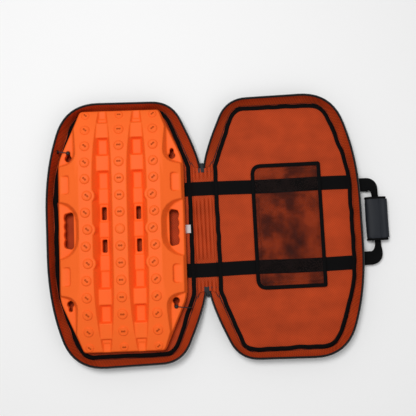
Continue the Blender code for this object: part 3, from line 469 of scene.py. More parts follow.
def grid(name, rows, closed=False, close_rows=False):
    """A sheet through rows of points, with its UV map in metres along and across."""
    bm = bmesh.new()
    uv = bm.loops.layers.uv.new("UVMap")
    verts = [[bm.verts.new(p) for p in row] for row in rows]
    along, across = [0.0], [0.0]
    middle = len(rows[0]) // 2
    for a, b in zip(rows, rows[1:] + ([rows[0]] if closed else [])):
        along.append(along[-1] + (Vector(b[middle]) - Vector(a[middle])).length)
    half = len(rows) // 2
    wide = rows[half] + ([rows[half][0]] if close_rows else [])
    for a, b in zip(wide, wide[1:]):
        across.append(across[-1] + (Vector(b) - Vector(a)).length)
    count, width = len(rows), len(rows[0])
    for i in range(count if closed else count - 1):
        k = (i + 1) % count
        for j in range(width if close_rows else width - 1):
            m = (j + 1) % width
            face = bm.faces.new((verts[i][j], verts[k][j], verts[k][m], verts[i][m]))
            for loop, (a, c) in zip(face.loops, ((i, j), (i + 1, j), (i + 1, j + 1), (i, j + 1))):
                loop[uv].uv = (along[a], across[c])
    return from_bmesh(name, bm)


def cap_ends(obj):
    """Closes the two open ends of a swept piece."""
    bm = bmesh.new()
    bm.from_mesh(obj.data)
    edges = [e for e in bm.edges if e.is_boundary]
    bmesh.ops.holes_fill(bm, edges=edges, sides=0)
    bmesh.ops.recalc_face_normals(bm, faces=bm.faces)
    bm.to_mesh(obj.data)
    bm.free()


def soft_corners(corners, steps=10):
    """An open 3D line through corners (x, y, z, reach): each corner is eased over its reach."""
    line = []
    last = len(corners) - 1
    for i, (x, y, z, reach) in enumerate(corners):
        here = Vector((x, y, z))
        if i in (0, last) or reach <= 0:
            line.append(here)
            continue
        back, ahead = Vector(corners[i - 1][:3]) - here, Vector(corners[i + 1][:3]) - here
        first = here + back.normalized() * min(reach, back.length * 0.48)
        second = here + ahead.normalized() * min(reach, ahead.length * 0.48)
        for k in range(steps + 1):
            t = k / steps
            line.append(first * (1 - t) ** 2 + here * 2 * t * (1 - t) + second * t * t)
    return line


def filled_in(lines, spacing):
    """Lines with one point for one point, given more points where a stretch is long."""
    made = [[] for _ in lines]
    for i in range(len(lines[0]) - 1):
        length = max((line[i + 1] - line[i]).length for line in lines)
        steps = max(1, round(length / spacing))
        for line, out in zip(lines, made):
            out += [line[i].lerp(line[i + 1], k / steps) for k in range(steps)]
    for line, out in zip(lines, made):
        out.append(line[-1])
    return made


def both_ends(half):
    """Corners of the upper half followed by the same corners mirrored to the lower one."""
    return half + [(u, -y, z, reach) for u, y, z, reach in reversed(half)]


def in_world(points, side):
    return [Vector((SPINE_X + side * p.x, p.y, p.z)) for p in points]


def level_out(directions, side):
    """A half's outward directions turned to the world's."""
    return [Vector((side * n.x, n.y, 0)) for n in directions]


def sideways(line, closed=False):
    """Level unit vectors to the outside of a line that runs clockwise round the case half, in u and y."""
    found = []
    count = len(line)
    for i in range(count):
        a = line[(i - 1) % count] if closed or i else line[i]
        b = line[(i + 1) % count] if closed or i + 1 < count else line[i]
        d = b - a
        level = Vector((d.x, d.y, 0))
        found.append(Vector((-level.y, level.x, 0)).normalized() if level.length > 1e-9 else found[-1])
    return found


def ripple(point, size, depth):
    """Even, repeatable folds for fabric."""
    return noise.noise(point / size) * depth


# Outlines of one half: u from the middle of the spine, y along it

FOOT = [
    (0.0075, 0.1630, 0.0100, 0.0),
    (0.0210, 0.1665, 0.0085, 0.008),
    (0.0290, 0.1790, 0.0052, 0.010),
    (0.0880, 0.3300, 0.0048, 0.036),
    (0.3400, 0.3300, 0.0048, 0.046),
    (0.4020, 0.1520, 0.0048, 0.060),
]
RIM = [
    (0.0075, 0.1650, 0.0155, 0.0),
    (0.0140, 0.1930, 0.0250, 0.012),
    (0.0290, 0.2360, 0.0370, 0.024),
    (0.0745, 0.3385, RIM_TOP, 0.052),
    (0.3520, 0.3440, RIM_TOP, 0.085),
    (0.4090, 0.1640, RIM_TOP, 0.110),
]
FLOOR = [
    (0.0283, 0.0, 0.0, 0.0),
    (0.0283, 0.1710, 0.0, 0.012),
    (0.0880, 0.3300, 0.0, 0.036),
    (0.3400, 0.3300, 0.0, 0.046),
    (0.4020, 0.1520, 0.0, 0.060),
    (0.4020, 0.0, 0.0, 0.0),
]


def wall_lines():
    foot, rim = soft_corners(both_ends(FOOT)), soft_corners(both_ends(RIM))
    return filled_in([foot, rim], 0.007)


def floor_loop(inset, spacing=0.008):
    """The floor's closed outline, moved inwards."""
    line = soft_corners(both_ends(FLOOR)[1:-1] + [(0.0283, -0.0, 0.0, 0.0)])
    line = filled_in([line + [line[0]]], spacing)[0][:-1]
    out = sideways(line, closed=True)
    return [p - n * inset for p, n in zip(line, out)]


def swept_band(name, line, outward, profile, closed=False):
    """A band along a line: profile points go outwards and up from it."""
    rows = [[p + n * a + Vector((0, 0, b)) for a, b in profile] for p, n in zip(line, outward)]
    obj = grid(name, rows, closed=closed, close_rows=True)
    if not closed:
        cap_ends(obj)
    recalc(obj)
    return obj


def domed(width, low, high, steps=5):
    """A band's cross-section: flat below and rounded above."""
    top = []
    for k in range(steps + 1):
        a = math.pi * k / steps
        top.append((width / 2 * math.cos(a), low + (high - low) * (0.35 + 0.65 * math.sin(a))))
    return [(width / 2 * 0.96, low)] + top + [(-width / 2 * 0.96, low)]


# Pieces


def build_walls(sizes):
    for name, side in HALVES:
        foot, rim = wall_lines()
        out = sideways(foot)
        rows = []
        for f, r, n in zip(foot, rim, out):
            row = []
            for k in range(11):
                t = k / 10
                a = 1 - (1 - t) ** 1.5
                p = Vector((f.x + (r.x - f.x) * a, f.y + (r.y - f.y) * a, f.z + (r.z - f.z) * t))
                slack = math.sin(math.pi * t)
                near_fold = max(0.0, 1 - abs(abs(p.y) - 0.21) / 0.09) if p.x < 0.1 else 0.0
                depth = sizes.wrinkle * (0.9 + 1.6 * near_fold)
                fold = ripple(Vector((p.x, p.y, p.z * 0.3 + side)), 0.022, depth)
                place = Vector((p.x, p.y, p.z * 0.35 + 4 + side))
                crease = ripple(place, 0.0095, sizes.wrinkle * 0.95)
                row.append(p + n * (fold * slack + crease * slack**0.5))
            rows.append(in_world(row, side))
        obj = grid(f"{name}_wall_cloth", rows)
        obj.data.materials.append(lining_cloth())
        obj.data.materials.append(shell_cloth())
        thick = obj.modifiers.new("padding", "SOLIDIFY")
        thick.thickness = sizes.wall_thickness
        thick.offset = -1
        thick.use_even_offset = True
        thick.material_offset = 1
        thick.material_offset_rim = 1
        if side < 0:
            obj.data.flip_normals()
        apply_all(obj)
        smooth_sides(obj, 60)
        blended(obj, None, "shell_black", name, side, f"{name}_wall", f"{name}_wall_lining")


def build_zips(sizes):
    for name, side in HALVES:
        rim = wall_lines()[1]
        out = sideways(rim)
        half = sizes.tape_width / 2
        centre = [p + n * (sizes.wall_thickness / 2 + 0.0006) for p, n in zip(rim, out)]
        top = RIM_Z - RIM_TOP
        profile = [(half, -0.0012), (half, top - 0.0009), (half * 0.6, top - 0.0001)]
        profile += [(-a, b) for a, b in reversed(profile)]
        tape = swept_band(f"{name}_zip_tape", in_world(centre, side), level_out(out, side), profile)
        smooth_sides(tape, 50)
        blended(tape, zip_tape(), "webbing_black", name, side, f"{name}_zip")
        fine = filled_in([centre], sizes.coil_pitch / 2)[0]
        fine_out = sideways(fine)
        rows = []
        for k, (p, n) in enumerate(zip(fine, fine_out)):
            radius = 0.00135 if k % 2 else 0.00095
            x = SPINE_X + side * (p.x + n.x * half * 0.55)
            at = Vector((x, p.y + n.y * half * 0.55, p.z + top - 0.0002))
            level = Vector((side * n.x, n.y, 0))
            row = []
            for a in ring_angles(6):
                row.append(at + level * radius * math.cos(a) + Vector((0, 0, radius * 0.8 * math.sin(a))))
            rows.append(row)
        coil = grid(f"{name}_zip_coil", rows, close_rows=True)
        cap_ends(coil)
        recalc(coil)
        smooth_sides(coil, 80)
        blended(coil, coil_nylon(), "webbing_black", name, side)


def ring_angles(count):
    return [2 * math.pi * k / count for k in range(count)]


def floor_rows(inset, spacing):
    """Rows of points that fill the floor's outline from one end to the other."""
    line = floor_loop(inset, 0.002)
    reach = max(p.y for p in line) - 0.0005
    rows = []
    count = round(2 * reach / spacing)
    for i in range(count + 1):
        y = -reach + 2 * reach * i / count
        crossing = []
        for a, b in zip(line, line[1:] + line[:1]):
            if (a.y - y) * (b.y - y) <= 0 and a.y != b.y:
                crossing.append(a.x + (b.x - a.x) * (y - a.y) / (b.y - a.y))
        low, high = min(crossing), max(crossing)
        rows.append([Vector((low + (high - low) * k / 46, y, 0)) for k in range(47)])
    return rows


def build_floors(sizes):
    for name, side in HALVES:
        rows = floor_rows(0.0006, 0.008)
        shaped = []
        for row in rows:
            out = []
            for p in row:
                sag = ripple(Vector((p.x, p.y * 0.6, side)), 0.055, 0.00045) - 0.00035
                out.append(Vector((p.x, p.y, LINING_TOP + sag)))
            shaped.append(in_world(out, side))
        obj = grid(f"{name}_floor_cloth", shaped)
        up = obj.data.polygons[0].normal.z > 0
        give_thickness(obj, "cloth", 0.0007, -1 if up else 1)
        recalc(obj)
        smooth_sides(obj, 60)
        finish_piece(obj, lining_cloth(), name, "lining_rust", f"{name}_floor_lining")

        outer = floor_loop(-0.0034)
        base = floor_base(f"{name}_base_cloth", outer, side)
        nodes = f"{name}_outer_panel", f"{name}_stiffener"
        finish_piece(base, shell_cloth(), name, "shell_black", *nodes)

        line = floor_loop(0.0022 + sizes.binding_width / 2)
        out = sideways(line, closed=True)
        line = [p + n * ripple(Vector((p.x, p.y, side + 9)), 0.026, 0.0019) for p, n in zip(line, out)]
        out = sideways(line, closed=True)
        band = swept_band(
            f"{name}_floor_edge_binding",
            in_world([p + Vector((0, 0, LINING_TOP)) for p in line], side),
            level_out(out, side),
            domed(sizes.binding_width, 0.0016, 0.0034),
            closed=True,
        )
        smooth_sides(band, 60)
        finish_piece(band, webbing(), name, "webbing_black", f"{name}_floor_binding")

        piping = floor_loop(-0.0040)
        piping = [p for p in piping if p.x > FOLD_U + 0.001]
        start = max(range(len(piping)), key=lambda i: (piping[i] - piping[i - 1]).length)
        piping = piping[start:] + piping[:start]
        out = sideways(piping)
        profile = [(0.0019 * math.cos(a), 0.0040 + 0.0019 * math.sin(a)) for a in ring_angles(8)]
        cord = swept_band(f"{name}_base_piping", in_world(piping, side), level_out(out, side), profile)
        smooth_sides(cord, 80)
        finish_piece(cord, webbing(), name, "webbing_black")


def floor_base(name, outline, side):
    """The stiffened base: a thin slab with a rounded lower edge, which stops at the fold line."""
    clipped = [Vector((max(p.x, FOLD_U + 0.0004), p.y, 0)) for p in outline]
    out = sideways(clipped, closed=True)
    rows = []
    for inset, z in ((0.0022, 0.0), (0.0006, 0.0007), (0.0, 0.0018), (0.0, 0.0034), (0.0012, 0.0038)):
        ring = [p - n * inset for p, n in zip(clipped, out)]
        rows.append([Vector((SPINE_X + side * max(p.x, FOLD_U + 0.0004), p.y, z)) for p in ring])
    obj = grid(name, rows, close_rows=True)
    cap_ends(obj)
    recalc(obj)
    smooth_sides(obj, 40)
    return obj


SPINE_NOTCH = ((0.0, 0.1630), (0.0075, 0.1630), (0.0210, 0.1665), (0.0290, 0.1790))


def notch_reach(u):
    for (a, low), (b, high) in zip(SPINE_NOTCH, SPINE_NOTCH[1:]):
        if u <= b:
            return low + (high - low) * (u - a) / (b - a)
    return SPINE_NOTCH[-1][1]


def spine_height(u, y):
    """The spine's lining: soft folds along its length, pressed flat under the straps."""
    near_strap = min(1.0, max(0.0, (abs(abs(y) - STRAP_Y) - 0.018) / 0.016))
    edge = max(0.0, 1 - u / FOLD_U)
    drop = 0.0028 * (1 - min(1.0, edge / 0.28)) ** 2
    return 0.0100 - drop + near_strap * min(1.0, edge * 3) * 0.0004


def build_spine():
    for name, side in HALVES:
        rows = []
        for j in range(29):
            u = 0.0292 * j / 28
            reach = notch_reach(u)
            row = []
            for i in range(105):
                y = -reach + 2 * reach * i / 104
                press = min(1.0, max(0.0, (abs(abs(y) - STRAP_Y) - 0.019) / 0.014))
                drift = 0.0022 * noise.noise(Vector((y * 9.0, side * 3.0, 1.0)))
                share = ((u * side + 0.0283 + drift) / 0.0105) % 1.0
                fold = min(1.0, max(0.0, 1.35 * math.sin(math.pi * share)))
                lift = press * (0.0046 * fold**0.7 - 0.0010)
                lift += ripple(Vector((u * side * 2.2, y * 0.5, 3)), 0.016, 0.0008) * press
                z = spine_height(u, y) + lift * min(1.0, (0.0300 - u) / 0.006)
                row.append(Vector((SPINE_X + side * u, y, z)))
            rows.append(row)
        obj = grid(f"spine_cloth_{name}", rows)
        face_up(obj)
        give_thickness(obj, "cloth", 0.0008, -1)
        smooth_sides(obj, 60)
        blended(obj, lining_cloth(), "lining_rust", name, side, "spine_lining")
        for level, sign in LEVELS:
            path = [Vector((SPINE_X + side * 0.0255 * k / 16, sign * SEAM_Y, 0.0)) for k in range(17)]
            for p in path:
                p.z = spine_height(abs(p.x - SPINE_X), SEAM_Y) + 0.0014
            profile = [(0.0009 * math.cos(a), 0.0006 * math.sin(a)) for a in ring_angles(6)]
            seam = swept_band(f"spine_seam_{level}_{name}", path, [Vector((0, 1, 0))] * 17, profile)
            blended(seam, seam_cloth(), "lining_rust", name, side)


def strap_height(u):
    """The strap's middle height: low on the floor, and over the spine's lining between the folds."""
    if u > 0.040:
        return LINING_TOP + 0.0009
    rise = min(1.0, max(0.0, (0.040 - u) / 0.020))
    return LINING_TOP + 0.0009 + rise * rise * (3 - 2 * rise) * 0.0056


def build_straps(sizes):
    for name, side in HALVES:
        far = abs((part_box(f"{name}_strap_upper")[0 if side < 0 else 1].x) - SPINE_X)
        for level, sign in LEVELS:
            rows = []
            count = 120
            for i in range(count + 1):
                u = far * (1 - i / count)
                z = strap_height(u)
                row = []
                for k in range(9):
                    v = k / 8 - 0.5
                    y = sign * STRAP_Y + v * sizes.strap_width + 0.0008 * math.sin(u * 21 + sign)
                    row.append(Vector((SPINE_X + side * u, y, z + 0.0003 * (1 - 4 * v * v))))
                rows.append(row)
            obj = grid(f"{name}_webbing_{level}", rows)
            face_up(obj)
            give_thickness(obj, "webbing", 0.0012)
            smooth_sides(obj, 50)
            nodes = f"{name}_strap_{level}", f"spine_strap_{level}"
            blended(obj, webbing(), "webbing_black", name, side, *nodes)


POCKET = {"near": 0.130, "far": 0.318, "half": 0.168, "corner": 0.024, "border": 0.010}
POCKET_LOW, POCKET_RISE = 0.0074, 0.0030


def pocket_height(u, y):
    """The pocket lies low along its three sewn sides and stands open at its mouth."""
    edge = min(u - POCKET["near"], POCKET["half"] - abs(y))
    rise = min(1.0, max(0.0, (edge - 0.009) / 0.016))
    soft = rise * rise * (3 - 2 * rise)
    mouth = min(1.0, max(0.0, 1 - (POCKET["far"] - u) / 0.030))
    return POCKET_LOW + max(soft, mouth) * POCKET_RISE


def build_pocket():
    rows = []
    count_u, count_y = 64, 110
    low_u, high_u, half = POCKET["near"] + 0.004, POCKET["far"] - 0.003, POCKET["half"] - 0.004
    for i in range(count_u + 1):
        u = low_u + (high_u - low_u) * i / count_u
        corner = POCKET["corner"] - 0.004
        cut = max(0.0, corner - (u - low_u))
        reach = half - (corner - math.sqrt(max(0.0, corner**2 - cut**2)))
        row = []
        for k in range(count_y + 1):
            y = -reach + 2 * reach * k / count_y
            base = pocket_height(u, y)
            share = min(1.0, (base - POCKET_LOW) / POCKET_RISE)
            wave = ripple(Vector((u * 1.3, y, 7)), 0.030, 0.0016)
            wave += ripple(Vector((u, y * 1.4, 2)), 0.011, 0.0006)
            row.append(Vector((SPINE_X + u, y, base + 0.0008 + wave * share)))
        rows.append(row)
    net = grid("pocket_net", rows)
    face_up(net)
    smooth_sides(net, 80)
    finish_piece(net, net_cloth(), "lid", "mesh_dark", "mesh_pocket")

    inner = POCKET["border"] / 2
    near, far, half = POCKET["near"] + inner, POCKET["far"] - inner, POCKET["half"] - inner
    corner = POCKET["corner"]
    corners = [(far, -half, 0, 0.002), (near, -half, 0, corner), (near, half, 0, corner), (far, half, 0, 0.002)]
    start = [(far, 0.0, 0, 0.0)]
    line = soft_corners(start + corners + start, steps=8)
    line = filled_in([line], 0.006)[0][:-1]
    out = sideways(line, closed=True)
    for p in line:
        p.z = pocket_height(p.x, p.y) + 0.0011
    profile = domed(POCKET["border"], -0.0011, 0.0011)
    band = swept_band("pocket_edge_binding", in_world(line, 1), level_out(out, 1), profile, closed=True)
    smooth_sides(band, 60)
    finish_piece(band, webbing(), "lid", "webbing_black", "pocket_binding")


def build_label():
    low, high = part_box("care_label")
    rows = []
    for i in range(13):
        x = high.x + 0.004 - (high.x - low.x) * i / 12
        lift = 0.0033 * min(1.0, max(0.0, 1 - (i - 4) / 5)) if i > 4 else 0.0033
        curl = 0.0006 * math.sin(i * 0.8)
        row = []
        for k in range(11):
            z = low.z + 0.0007 + lift + curl * (0.4 + k / 20)
            row.append(Vector((x, low.y + (high.y - low.y) * k / 10, z)))
        rows.append(row)
    obj = grid("blank_label", rows)
    face_up(obj)
    give_thickness(obj, "ribbon", 0.0004, 1)
    smooth_sides(obj, 60)
    finish_piece(obj, label_cloth(), "tray", "label_white", "care_label")


def build_tabs():
    """The slate tabs that hide the parked sliders; the binding on each inner edge is not built."""
    for level, sign in LEVELS:
        low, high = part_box(f"spine_end_tab_{level}")
        inner, outer = (low.y, high.y) if sign > 0 else (high.y, low.y)
        rows = []
        for i in range(17):
            t = i / 16
            y = inner + (outer - inner) * t
            half = 0.012 - 0.005 * t
            z = high.z - 0.0007 + 0.0006 * math.sin(math.pi * t) - 0.0004 * t
            row = []
            for k in range(13):
                v = 2 * k / 12 - 1
                row.append(Vector((SPINE_X + half * v, y, z - 0.0008 * v * v)))
            rows.append(row)
        tab = grid(f"zip_end_tab_{level}", rows)
        face_up(tab)
        give_thickness(tab, "felt", 0.0013, edge=0.0004)
        smooth_sides(tab, 50)
        finish_piece(tab, grip_cloth(), "spine", "grip_slate", f"spine_end_tab_{level}")


def cylinder(name, radius, depth, place):
    deselect()
    bpy.ops.mesh.primitive_cylinder_add(vertices=20, radius=radius, depth=depth, location=place)
    obj = bpy.context.object
    obj.name = obj.data.name = name
    return obj


def block(name, low, high):
    deselect()
    middle = (Vector(low) + Vector(high)) / 2
    bpy.ops.mesh.primitive_cube_add(size=1, location=middle)
    obj = bpy.context.object
    obj.name = obj.data.name = name
    obj.scale = Vector(high) - Vector(low)
    settle(obj)
    return obj


def rounded_edges(obj, width, segments=3, angle=35):
    bevel = obj.modifiers.new("soft edge", "BEVEL")
    bevel.width = width
    bevel.segments = segments
    bevel.limit_method = "ANGLE"
    bevel.angle_limit = math.radians(angle)
    apply_all(obj)
    smooth_sides(obj, 40)


def join(pieces, name):
    deselect()
    for piece in pieces:
        piece.select_set(True)
    bpy.context.view_layer.objects.active = pieces[0]
    bpy.ops.object.join()
    pieces[0].name = pieces[0].data.name = name
    return pieces[0]


def build_sliders():
    """Each slider: two waisted plates round a wedge, with a bail under it for the puller's tongue."""
    for level, sign in LEVELS:
        low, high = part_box(f"zip_slider_{level}")
        mid_y = (low.y + high.y) / 2
        body_low = high.z - 0.0052
        pieces = []
        for z in (body_low, high.z - 0.0016):
            plate = block("plate", (low.x, low.y, z), (high.x, high.y, z + 0.0016))
            for v in plate.data.vertices:
                if (v.co.y - mid_y) * sign < 0:
                    v.co.x = SPINE_X + (v.co.x - SPINE_X) * 0.62
            rounded_edges(plate, 0.0006)
            pieces.append(plate)
        place = (SPINE_X, mid_y + sign * 0.003, (body_low + high.z) / 2)
        wedge = cylinder("wedge", 0.0016, 0.0030, place)
        settle(wedge)
        pieces.append(wedge)
        for x in (-0.0022, 0.0022):
            near = (SPINE_X + x - 0.0006, mid_y - 0.0024, low.z)
            cheek = block("cheek", near, (SPINE_X + x + 0.0006, mid_y + 0.0024, body_low + 0.0004))
            rounded_edges(cheek, 0.0003)
            pieces.append(cheek)
        slider = join(pieces, f"cast_slider_{level}")
        finish_piece(slider, black_metal(), f"slider_{level}", "zip_metal", f"zip_slider_{level}")

        low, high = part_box(f"zip_puller_{level}")
        middle = (low.y + high.y) / 2
        tongue = block(f"cast_puller_{level}", low, high)
        make_active(tongue)
        bpy.ops.object.mode_set(mode="EDIT")
        bpy.ops.mesh.select_all(action="SELECT")
        bpy.ops.mesh.subdivide(number_cuts=3)
        bpy.ops.object.mode_set(mode="OBJECT")
        for v in tongue.data.vertices:
            along = (v.co.y - middle) * sign / (high.y - low.y)
            if along > 0.2:
                v.co.x = SPINE_X + (v.co.x - SPINE_X) * 0.4
        place = (SPINE_X, middle - sign * 0.0075, (low.z + high.z) / 2)
        hole = cylinder("hole", 0.0013, 0.01, place)
        cut = tongue.modifiers.new("eye", "BOOLEAN")
        cut.object = hole
        cut.operation = "DIFFERENCE"
        apply_all(tongue)
        bpy.data.objects.remove(hole)
        rounded_edges(tongue, 0.0003, 2)
        finish_piece(tongue, black_metal(), f"puller_{level}", "zip_metal", f"zip_puller_{level}")


def build_handle():
    """Webbing that leaves the wall flat, turns along the grip and narrows into it."""
    low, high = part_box("handle_webbing")
    z = (low.z + high.z) / 2
    grip_low, grip_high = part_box("grip_binding_lower")[0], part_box("grip_binding_upper")[1]
    grip_x = (grip_low.x + grip_high.x) / 2
    root = low.x
    for level, sign in LEVELS:
        end_y = (grip_high.y - 0.012) if sign > 0 else (grip_low.y + 0.012)
        corner = [(root, HANDLE_Y, 0.0), (grip_x - 0.002, HANDLE_Y, 0.030), (grip_x, sign * end_y, 0.0)]
        line = soft_corners([(x, sign * y, z, r) for x, y, r in corner], steps=14)
        line = filled_in([line], 0.003)[0]
        total = sum((b - a).length for a, b in zip(line, line[1:]))
        rows, gone = [], 0.0
        out = sideways(line)
        for i, (p, n) in enumerate(zip(line, out)):
            gone += (p - line[i - 1]).length if i else 0.0
            share = gone / total
            squeeze = min(1.0, max(0.0, (share - 0.35) / 0.4))
            squeeze = squeeze * squeeze * (3 - 2 * squeeze)
            half = 0.018 - 0.0100 * squeeze
            row = []
            for k in range(13):
                v = 2 * k / 12 - 1
                crease = 0.0042 * squeeze * abs(v) ** 1.5 + 0.0012 * math.sin(share * 9) * v
                row.append(p + n * half * v + Vector((0, 0, crease - 0.001)))
            rows.append(row)
        band = grid(f"handle_webbing_{level}", rows)
        face_up(band)
        give_thickness(band, "webbing", 0.0022)
        smooth_sides(band, 50)
        finish_piece(band, webbing(), "handle", "webbing_black", "handle_webbing")

        low_a, high_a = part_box(f"handle_anchor_{level}")
        anchor = block(f"sewn_anchor_{level}", low_a, high_a)
        rounded_edges(anchor, 0.0014)
        map_like_a_box(anchor)
        finish_piece(anchor, webbing(), "lid", "webbing_black", f"handle_anchor_{level}")

    build_grip(grip_low, grip_high, grip_x)


def oval(half_x, half_z, power=3.2, count=40):
    """A soft rounded box in cross-section."""
    points = []
    for a in ring_angles(count):
        c, s = math.cos(a), math.sin(a)
        x = math.copysign(abs(c) ** (2 / power), c)
        z = math.copysign(abs(s) ** (2 / power), s)
        points.append((half_x * x, half_z * z))
    return points


def build_grip(low, high, x):
    z = (low.z + high.z) / 2
    half_x, half_z = (high.x - low.x) / 2, (high.z - low.z) / 2
    length = high.y - low.y
    rows = []
    for i in range(31):
        t = i / 30
        y = low.y + 0.004 + (length - 0.008) * t
        full = 0.965 + 0.03 * math.sin(math.pi * t) ** 0.6
        hollow = 0.03 * math.sin(math.pi * t)
        ring = []
        for a, b in oval(half_x * (full - 0.012), half_z * (full - hollow)):
            push = ripple(Vector((a, y, b)), 0.018, 0.0005)
            ring.append(Vector((x + a * (1 + push), y, z + b * (1 + push * 0.5))))
        rows.append(ring)
    pad = grid("grip_padding", rows, close_rows=True)
    hollow_ends(pad)
    fill_with_padding(pad, 0.0012)
    smooth_sides(pad, 60)
    finish_piece(pad, grip_cloth(), "handle", "grip_slate", "grip_pad")

    for level, _ in LEVELS:
        b_low, b_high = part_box(f"grip_binding_{level}")
        rows = []
        for i in range(9):
            a = math.pi * i / 8
            y = (b_low.y + b_high.y) / 2 + 0.5 * (b_high.y - b_low.y) * math.cos(a)
            proud = 0.0016 * math.sin(a)
            ring = oval(half_x - 0.0022 + proud, half_z - 0.0022 + proud)
            rows.append([Vector((x + p, y, z + q)) for p, q in ring])
        for i in range(5):
            y = b_low.y + (b_high.y - b_low.y) * i / 4
            rows.append([Vector((x + p, y, z + q)) for p, q in oval(half_x - 0.0050, half_z - 0.0050)])
        ring = grid(f"grip_end_binding_{level}", rows, closed=True, close_rows=True)
        recalc(ring)
        smooth_sides(ring, 60)
        finish_piece(ring, webbing(), "handle", "webbing_black", f"grip_binding_{level}")

    f_low, f_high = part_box("grip_flap")
    rows = []
    side, top, bend = f_high.x - x - 0.0009, f_high.z - z - 0.0009, 0.0105
    free = f_low.x - x
    section = [(side, 0.0), (side, 0.001)]
    for k in range(9):
        a = k * math.pi / 16
        section.append((side - bend + bend * math.cos(a), top - bend + bend * math.sin(a)))
    for k in range(1, 9):
        droop = 0.0006 * math.sin(math.pi * k / 8)
        section.append((side - bend + (free - side + bend) * k / 8, top - droop))
    for i in range(25):
        t = i / 24
        y = f_low.y + (f_high.y - f_low.y) * t
        row = []
        for a, b in section:
            wave = 0.0003 * math.sin(7 * t + a * 90)
            row.append(Vector((x + a - 0.0003 * math.sin(math.pi * t), y, z + b + wave)))
        rows.append(row)
    flap = grid("grip_wrap_flap", rows)
    give_thickness(flap, "felt", 0.0017, edge=0.0005)
    recalc(flap)
    smooth_sides(flap, 60)
    finish_piece(flap, grip_cloth(), "flap", "grip_slate", "grip_flap")


def fill_with_padding(obj, furthest):
    """Blows the closed shape up a little as cloth, holding each point near its place."""
    remesh = obj.modifiers.new("even cloth", "REMESH")
    remesh.mode = "VOXEL"
    remesh.voxel_size = 0.004
    apply_all(obj)
    rest = [v.co.copy() for v in obj.data.vertices]
    cloth = obj.modifiers.new("cloth", "CLOTH")
    cloth.settings.use_pressure = True
    cloth.settings.uniform_pressure_force = 4
    cloth.settings.effector_weights.gravity = 0
    for step in range(1, 21):
        bpy.context.scene.frame_set(step)
    blown = obj.evaluated_get(bpy.context.evaluated_depsgraph_get()).to_mesh()
    moved = [v.co - start for v, start in zip(blown.vertices, rest)]
    obj.to_mesh_clear()
    obj.modifiers.clear()
    for v, start, move in zip(obj.data.vertices, rest, moved):
        v.co = start + move * min(1.0, furthest / max(move.length, 1e-9))
    bpy.context.scene.frame_set(1)
    finer = obj.modifiers.new("finer", "SUBSURF")
    finer.levels = finer.render_levels = 1
    apply_all(obj)


def hollow_ends(obj):
    """Closes a sleeve's ends with faces set a little inwards."""
    make_active(obj)
    bpy.ops.object.mode_set(mode="EDIT")
    bpy.ops.mesh.select_all(action="DESELECT")
    bpy.ops.mesh.select_mode(type="EDGE")
    bpy.ops.mesh.select_non_manifold()
    bpy.ops.mesh.edge_face_add()
    bpy.ops.mesh.select_all(action="SELECT")
    bpy.ops.mesh.normals_make_consistent(inside=False)
    bpy.ops.object.mode_set(mode="OBJECT")


# Boards

RIDGE_HEIGHT, NOSE_HEIGHT, NOSE_START, BOARD_HALF = 0.046, 0.010, 0.120, 0.319
STUD_PITCH, STUD_COLUMN, STUD_ROWS, BOSS_SHIFT = 0.0437, 0.089, 7, 0.005
STUD_SIDES = 40


def ridge_height(y):
    beyond = max(0.0, abs(y) - NOSE_START) / (BOARD_HALF - NOSE_START)
    return RIDGE_HEIGHT - (RIDGE_HEIGHT - NOSE_HEIGHT) * min(beyond, 1.1) ** 2


def board_matrix(base):
    place = Matrix.Translation((BOARD_CENTRE.x, BOARD_CENTRE.y, base))
    return place @ Matrix.Rotation(BOARD_TURN, 4, "Z")


